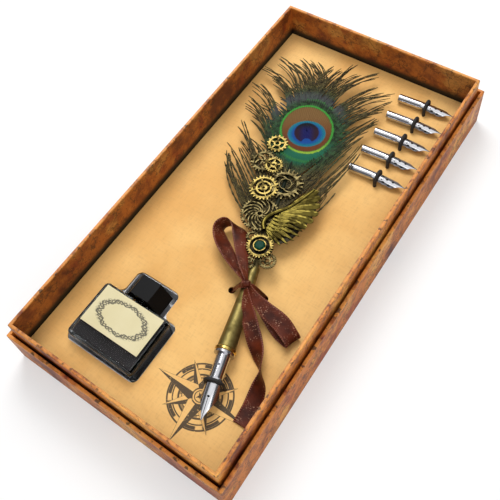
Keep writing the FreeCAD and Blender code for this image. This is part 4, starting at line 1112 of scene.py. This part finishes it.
def castWing(wing):
    points, faces = [], []
    base = wing["base"]
    foot, top = (base + level for level in wing["plate"])
    tips = [tip for start, tip in wing["flight"]] + wing["points"][0]
    rows = []
    for k, tip in enumerate(tips):  # a dark plate under the feathers: painted shade in the gaps between them
        near = Vector(along([wing["shoulder"]] + wing["roots"], k / (len(tips) - 1)))
        far = near + (Vector(tip) - near) * wing["plateReach"]
        rows.append([onPen(*near, foot), onPen(*near, top), onPen(*far, top), onPen(*far, foot)])
    castStrip(points, faces, rows, False)
    shadePlateFaces = len(faces)
    for n, (start, end) in enumerate(wing["flight"]):  # long smooth flight feathers from the outer arm
        low = base + 0.1 + 0.06 * (5 - n)
        wingFeather(points, faces, start, end, wing["flightWidth"], low, wing["flightThick"], False, wing["flightBow"])
    for ends, (width, rise) in zip(wing["points"], wing["pointRows"]):  # short pointed ones in rows
        for n, end in enumerate(ends):
            start = along(wing["roots"], n / (len(ends) - 1))
            low = base + rise + 0.05 * (len(ends) - n)
            wingFeather(points, faces, start, end, width, low, wing["pointThick"], True, wing["pointBow"])
    arm = smoothPath([((x, y, 0), (0, 0, 1), width / 2) for x, y, width in wing["arm"]], 6)
    rows = []
    for k, (place, _, half) in enumerate(arm):
        ahead = (arm[min(k + 1, len(arm) - 1)][0] - arm[max(k - 1, 0)][0]).normalized()
        side = Vector((-ahead.y, ahead.x)) * half
        row = []
        for j in range(wing["armSides"]):
            turn = 2 * math.pi * j / wing["armSides"]
            rise = base + wing["armRise"] + half * wing["armFlat"] * math.sin(turn)
            row.append(onPen(place.x + side.x * math.cos(turn), place.y + side.y * math.cos(turn), rise))
        rows.append(row)
    castStrip(points, faces, rows, False)
    piece = finishMesh("wingCast", points, faces)
    for polygon in piece.data.polygons:
        polygon.material_index = 1 if polygon.index < shadePlateFaces else 0
    tidyShell(piece, 35)
    piece.data.materials.append(paints["goldWing"])
    piece.data.materials.append(paints["blackenedAndShade"])
    return piece


wingPiece = castWing(wing)
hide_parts("wing")
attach(wingPiece, "pen")
print("wing cast")

# nib blades: rolled steel, wide at the shoulders, with a vent and a slit painted on as dark shade
blade = {
    "thickness": 0.35,
    "rows": 28,
    "across": 12,
    "bow": 1.08,  # radius of the roll, as a share of half the width
    "penStart": -15.0,
    "penBlade": {"length": 23.2, "half": 4.8, "crest": 3.55, "fall": 3.3,
                 "profile": [0.7, 0.74, 0.88, 1.0, 1.0, 0.86, 0.62, 0.38, 0.18, 0.04], "vent": 0.46, "holes": []},
    "spareBlade": {"length": 21.6, "half": 3.3, "crest": 2.65, "fall": 2.3,
                   "profile": [0.8, 0.84, 0.96, 0.92, 1.0, 0.93, 1.0, 0.97, 0.72, 0.36, 0.14, 0.03], "vent": 0.62,
                   "holes": [(0.0, 0.44, 0.1, 0.035), (0.0, 0.62, 0.1, 0.035), (0.34, 0.36, 0.07, 0.05),
                             (0.4, 0.54, 0.06, 0.05), (0.2, 0.3, 0.05, 0.025)]},  # from the middle, along, radii
    "steel": ("#c4c4c8", "#dedee2"),
    "slit": "#08080a",
    "grooveAt": 0.12,
}


def rollBlade(name, origin, ahead, shape):
    rows, across = blade["rows"], blade["across"]
    points, faces, uvs = [], [], []
    side = Vector((-ahead.y, ahead.x, 0))
    for i in range(rows + 1):
        f = i / rows
        half = shape["half"] * along(shape["profile"], f)
        bow = shape["half"] * blade["bow"]
        crest = shape["crest"] - shape["fall"] * f ** 1.6
        for j in range(across + 1):
            x = half * (j / across * 2 - 1)
            z = crest - (bow - math.sqrt(bow * bow - x * x))
            spot = origin + ahead * shape["length"] * f + side * x + Vector((0, 0, z))
            points.append(spot * mm)
            uvs.append((x / (2 * shape["half"]) + 0.5, f))
    row = across + 1
    for i in range(rows):
        for j in range(across):
            a = i * row + j
            faces.append((a, a + row, a + row + 1, a + 1))
    piece = finishMesh(name, points, faces, uvs)
    thicken(piece, blade["thickness"], -1)
    tidyShell(piece, 40)
    return piece


def bladePaint(name, shape):
    paint, tree, shader = newPaint(name)[:3]
    uv = addNode(tree, "UVMap").outputs[0]
    split = splitPlace(tree, uv)
    x, y = split[0], split[1]
    fromMiddle = away(tree, x, 0.5)
    vent = shape["vent"]
    # painted shade: the vent, the slit, the pierced holes and the groove are dark marks on the steel, standing for the
    # shade in openings that are not cut
    dark = below(tree, ellipse(tree, x, y, 0.5, vent, 0.085, 0.026), 0.85, 1.05)
    slit = times(tree, below(tree, fromMiddle, 0.012, 0.022), soften(tree, y, vent, vent + 0.02))
    dark = most(tree, dark, slit)
    for hole in shape["holes"]:  # pierced holes and scrolls along both sides, painted dark as shade
        dark = most(tree, dark, below(tree, ellipse(tree, fromMiddle, y, *hole), 0.8, 1.05))
    if shape["holes"]:
        dark = most(tree, dark, times(tree, band(tree, y, blade["grooveAt"], 0.008, 0.014), 0.7))
    brushed = noise(tree, uv, 60.0, 2.0, 0.5, (1.0, 0.05, 1.0))
    steel = blendTones(tree, brushed, *(tone(code) for code in blade["steel"]))
    feed(shader, Base_Color=blendTones(tree, dark, steel, tone(blade["slit"])), Metallic=1.0)
    feed(shader, Roughness=plus(tree, times(tree, brushed, 0.1), 0.12))
    return paint


def fitBlades():
    shape = blade["spareBlade"]
    spareSteel = bladePaint("spareBladeSteel", shape)
    ahead = Vector((math.cos(spareTurn), math.sin(spareTurn), 0))
    for k in range(spareCount):
        low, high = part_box(f"spare_nib_{k + 1}_tube")
        x, y, z = ((a + b) / 2 / mm for a, b in zip(low, high))
        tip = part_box(f"spare_nib_{k + 1}_blade")[1].x / mm
        axis = Vector((tip, y + (tip - x) * math.tan(spareTurn), z))
        piece = rollBlade(f"spareBlade_{k + 1}", axis - ahead * shape["length"], ahead, shape)
        piece.data.materials.append(spareSteel)
        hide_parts(f"spare_nib_{k + 1}_blade")
        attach(piece, f"spare_nib_{k + 1}")
    shape = blade["penBlade"]
    ahead = Vector((math.sin(pen["angle"]), -math.cos(pen["angle"]), 0))
    piece = rollBlade("penBlade", onPen(0, blade["penStart"]) / mm, ahead, shape)
    piece.data.materials.append(bladePaint("penBladeSteel", shape))
    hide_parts("pen_nib_blade")
    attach(piece, "pen_nib")


fitBlades()
print("nib blades rolled")

# satin ribbon: paths in mm (x, y, height over the card), with the way the width points and half the width
ribbon = {
    "thickness": 0.35,
    "perSpan": 8,
    "across": 6,
    "curl": 0.3,  # how far the edges stand up, mm
    "crease": 0.22,
    "weft": 12,  # threads and stitches in a centimetre
    "warp": 11,
    "stitches": 8,
    "dark": "#3a150a",
    "warm": "#6d2c15",
    "thread": "#220e07",
    "glint": "#bd8b6e",
    "stitch": "#a8695a",
    "loop": [((20.6, -48.2, 13.2), (-0.4, -0.6, 0.7), 1.5), ((13.2, -44.2, 12.8), (-0.45, -0.75, 0.5), 3.0),
             ((5.0, -40.0, 11.6), (-0.45, -0.8, 0.4), 4.0), ((-4.2, -34.6, 9.8), (-0.45, -0.78, 0.42), 4.6),
             ((-11.4, -29.4, 8.2), (-0.45, -0.66, 0.6), 4.8), ((-15.4, -24.4, 7.4), (-0.4, -0.4, 0.82), 4.9),
             ((-14.6, -19.8, 7.4), (-0.35, -0.15, 0.92), 4.9), ((-10.2, -18.0, 8.0), (-0.45, -0.2, 0.87), 4.9),
             ((-4.6, -19.6, 8.8), (-0.65, -0.4, 0.64), 4.9), ((-0.2, -23.4, 9.6), (-0.78, -0.52, 0.35), 4.8),
             ((4.0, -28.4, 10.4), (-0.8, -0.52, 0.3), 4.4), ((9.8, -35.4, 11.6), (-0.78, -0.54, 0.32), 3.6),
             ((15.4, -41.8, 12.8), (-0.7, -0.54, 0.46), 2.6), ((20.8, -47.2, 13.6), (-0.4, -0.5, 0.8), 1.5)],
    "flatLoop": [((24.4, -49.4, 13.6), (0.1, 0.6, 0.8), 1.7), ((29.6, -52.6, 12.2), (0.3, 0.9, 0.3), 2.8),
                 ((40.0, -55.4, 10.2), (0.35, 0.93, 0.15), 4.6), ((50.0, -56.8, 8.4), (0.3, 0.95, 0.1), 5.2),
                 ((58.0, -59.8, 6.0), (0.3, 0.95, -0.1), 5.2), ((60.6, -61.0, 3.4), (0.3, 0.95, -0.15), 5.2),
                 ((57.0, -60.4, 1.6), (0.3, 0.95, -0.1), 5.1), ((50.0, -58.8, 1.5), (0.3, 0.95, 0.0), 4.9),
                 ((41.0, -55.8, 4.4), (0.3, 0.95, 0.0), 4.2), ((32.0, -52.6, 9.0), (0.2, 0.9, 0.2), 2.8),
                 ((24.6, -50.4, 12.2), (0.1, 0.6, 0.8), 1.6)],
    "tail": [((23.6, -51.6, 13.0), (0.6, 0.3, 0.7), 1.6), ((27.6, -57.0, 12.0), (0.75, 0.5, 0.3), 2.8),
             ((33.6, -63.6, 9.4), (0.8, 0.55, 0.15), 4.2), ((41.0, -70.6, 6.6), (0.75, 0.6, 0.2), 4.6),
             ((48.6, -77.4, 5.0), (0.5, 0.5, 0.7), 4.6), ((54.6, -84.0, 4.6), (0.0, 0.1, 1.0), 4.4),
             ((58.6, -92.0, 3.2), (-0.75, 0.05, 0.65), 4.6), ((60.6, -101.0, 1.6), (-0.97, 0.0, 0.2), 4.7),
             ((61.2, -108.0, 0.9), (-0.99, -0.05, 0.04), 4.7), ((61.4, -113.6, 0.7), (-0.99, -0.1, 0.0), 4.7)],
    "strap": [((13.2, -51.9, -0.9), (-0.28, 0.96, 0), 1.5), ((13.4, -51.8, 0.8), (-0.28, 0.96, 0), 1.6),
              ((16.6, -50.9, 7.0), (-0.28, 0.96, 0), 1.9), ((18.9, -50.2, 10.6), (-0.28, 0.96, 0), 2.0),
              ((22.2, -49.2, 12.0), (-0.28, 0.96, 0), 2.0), ((25.6, -48.2, 10.6), (-0.28, 0.96, 0), 2.0),
              ((28.2, -47.4, 7.0), (-0.28, 0.96, 0), 1.9), ((31.9, -46.2, 0.8), (-0.28, 0.96, 0), 1.6),
              ((32.1, -46.1, -0.9), (-0.28, 0.96, 0), 1.5)],
}


def layRibbon(name, path):
    rows = smoothPath(path, ribbon["perSpan"])
    across = ribbon["across"]
    points, faces, uvs = [], [], []
    length = 0.0
    for i, (spot, side, half) in enumerate(rows):
        if i:
            length += (spot - rows[i - 1][0]).length
        ahead = (rows[min(i + 1, len(rows) - 1)][0] - rows[max(i - 1, 0)][0]).normalized()
        side = (side - ahead * side.dot(ahead)).normalized()
        face = ahead.cross(side)
        for j in range(across + 1):
            f = j / across * 2 - 1
            crease = ribbon["crease"] * math.sin(3.1 * f + length * 0.16) * (5.0 - half) / 3.5
            spot2 = spot + side * half * f + face * (ribbon["curl"] * (f * f - 0.4) + crease)
            points.append(Vector((spot2.x, spot2.y, spot2.z + cardTop)) * mm)
            uvs.append((j / across, length / 10))
    row = across + 1
    for i in range(len(rows) - 1):
        for j in range(across):
            a = i * row + j
            faces.append((a, a + 1, a + row + 1, a + row))
    piece = finishMesh(name, points, faces, uvs)
    thicken(piece, ribbon["thickness"], 0)
    return piece, length * mm


def ribbonPaint():
    paint, tree, shader, place = newPaint("satinRibbon")
    uv = addNode(tree, "UVMap").outputs[0]
    split = splitPlace(tree, uv)
    weft = calc(tree, "SINE", times(tree, split[1], 2 * math.pi * ribbon["weft"]))
    warp = calc(tree, "SINE", times(tree, split[0], 2 * math.pi * ribbon["warp"]))
    weave = plus(tree, times(tree, times(tree, weft, warp), 0.5), 0.5)
    cloud = noise(tree, place, 110.0, 3.0)
    colour = blendTones(tree, soften(tree, cloud, 0.3, 0.7), tone(ribbon["dark"]), tone(ribbon["warm"]))
    colour = blendTones(tree, times(tree, weave, 0.4), colour, tone(ribbon["thread"]))
    glint = soften(tree, noise(tree, place, 1300.0, 1.0), 0.58, 0.66)
    patch = soften(tree, noise(tree, place, 160.0, 2.0), 0.45, 0.6)
    colour = blendTones(tree, times(tree, times(tree, glint, patch), 0.6), colour, tone(ribbon["glint"]))
    edge = away(tree, split[0], 0.5)
    hem = soften(tree, edge, 0.4, 0.45)
    stitch = soften(tree, calc(tree, "SINE", times(tree, split[1], 2 * math.pi * ribbon["stitches"])), -0.2, 0.4)
    colour = blendTones(tree, times(tree, hem, times(tree, stitch, 0.6)), colour, tone(ribbon["stitch"]))
    feed(shader, Base_Color=colour, Roughness=plus(tree, times(tree, weave, 0.15), 0.3), Specular_IOR_Level=0.16)
    emboss(tree, shader, plus(tree, weave, hem), 0.35, 0.00025)
    return paint


satin = ribbonPaint()
for key, node, held, rests in (
    ("loop", "ribbon_loop", "folded", "pen_barrel"), ("flatLoop", "ribbon_flat_loop", "folded", "insert_card"),
    ("tail", "ribbon_tail", "laid", "insert_card"), ("strap", "ribbon_strap", "stretched", "pen_barrel"),
):
    piece, length = layRibbon(key + "Ribbon", ribbon[key])
    piece.data.materials.append(satin)
    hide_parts(node)
    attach(piece, "pen")

# knot: a small pulled band round the middle of the bow
knot = {"centre": (21.8, -48.9, 13.3), "radii": (2.9, 2.5, 2.2), "turn": math.radians(30), "segments": 36, "rings": 20,
        "folds": 5, "foldDepth": 0.07, "foldLean": 2.5, "waist": 0.18}


def tieKnot(knot):
    bpy.ops.object.select_all(action="DESELECT")
    x, y, h = knot["centre"]
    wide, deep, tall = knot["radii"]
    bpy.ops.mesh.primitive_uv_sphere_add(segments=knot["segments"], ring_count=knot["rings"], radius=1.0,
                                         location=(0, 0, 0))
    piece = bpy.context.object
    piece.name = "bowKnot"
    turn = Matrix.Rotation(knot["turn"], 3, "Z")
    for vertex in piece.data.vertices:
        d = vertex.co.copy()
        fold = 1.0 + knot["foldDepth"] * math.sin(knot["folds"] * math.atan2(d.z, d.y) + knot["foldLean"] * d.x)
        waist = 1.0 - knot["waist"] * (1 - abs(d.x)) ** 2
        spot = turn @ Vector((d.x * wide, d.y * deep * fold * waist, d.z * tall * fold * waist))
        vertex.co = (Vector((x, y, h + cardTop)) + spot) * mm
    bpy.ops.object.shade_smooth()
    piece.select_set(False)
    return piece


knotPiece = tieKnot(knot)
knotPiece.data.materials.append(satin)
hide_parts("ribbon_knot")
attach(knotPiece, "pen")
print("bow tied")

# the pen's elastic stretches between the card and the pen
loopCord = {"penAt": 17.4, "penArch": 5.3, "penRadius": 0.95, "spareArch": 4.4, "spareRadius": 1.12,
            "spareHeight": 20.7, "tuck": 3.0, "legSteps": 6, "archSteps": 12, "sides": 14, "swell": 1.7}


def bendElastic(name, middle, across, arch, radius):
    path = []
    drop = middle.z - cardTop + loopCord["tuck"]
    legs, arches, sides = loopCord["legSteps"], loopCord["archSteps"], loopCord["sides"]
    for k in range(legs):
        path.append((-arch, -drop + drop * k / legs))
    for k in range(arches + 1):
        turn = math.pi - math.pi * k / arches
        path.append((arch * math.cos(turn), arch * math.sin(turn)))
    for k in range(1, legs + 1):
        path.append((arch, -drop * k / legs))
    points, faces, uvs = [], [], []
    forward = Vector((-across.y, across.x, 0))
    for i, (a, z) in enumerate(path):
        before, after = path[max(i - 1, 0)], path[min(i + 1, len(path) - 1)]
        ahead = Vector((after[0] - before[0], after[1] - before[1])).normalized()
        swell = loopCord["swell"] if i in (0, len(path) - 1) else 1.0
        for j in range(sides):
            turn = 2 * math.pi * j / sides
            out, over = radius * swell * math.cos(turn), radius * swell * math.sin(turn)
            spot = middle + across * (a - ahead.y * out) + forward * over + Vector((0, 0, z + ahead.x * out))
            points.append(spot * mm)
            uvs.append((j / sides, i))
    for i in range(len(path) - 1):
        for j in range(sides):
            a, b = i * sides + j, i * sides + (j + 1) % sides
            faces.append((a, a + sides, b + sides, b))
    faces.append(tuple(range(sides)))
    faces.append(tuple((len(path) - 1) * sides + j for j in range(sides))[::-1])
    piece = finishMesh(name, points, faces, uvs)
    tidyShell(piece, 60)
    piece.data.materials.append(elastic)
    return piece


middle = onPen(0, -loopCord["penAt"]) / mm
across = Vector((math.cos(pen["angle"]), math.sin(pen["angle"]), 0))
elasticPiece = bendElastic("penElasticLoop", middle, across, loopCord["penArch"], loopCord["penRadius"])
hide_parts("pen_elastic")
low, high = middle * mm, middle * mm
low.z = cardTop * mm
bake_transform(elasticPiece)
for k in range(spareCount):
    node = f"nib_elastic_{k + 1}"
    low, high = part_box(node)
    middle = Vector(((low.x + high.x) / 2 / mm, (low.y + high.y) / 2 / mm, loopCord["spareHeight"]))
    across = Vector((-math.sin(spareTurn), math.cos(spareTurn), 0))
    piece = bendElastic(f"nibElasticLoop_{k + 1}", middle, across, loopCord["spareArch"], loopCord["spareRadius"])
    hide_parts(node)
    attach(piece, "insert")
print("elastics bent")
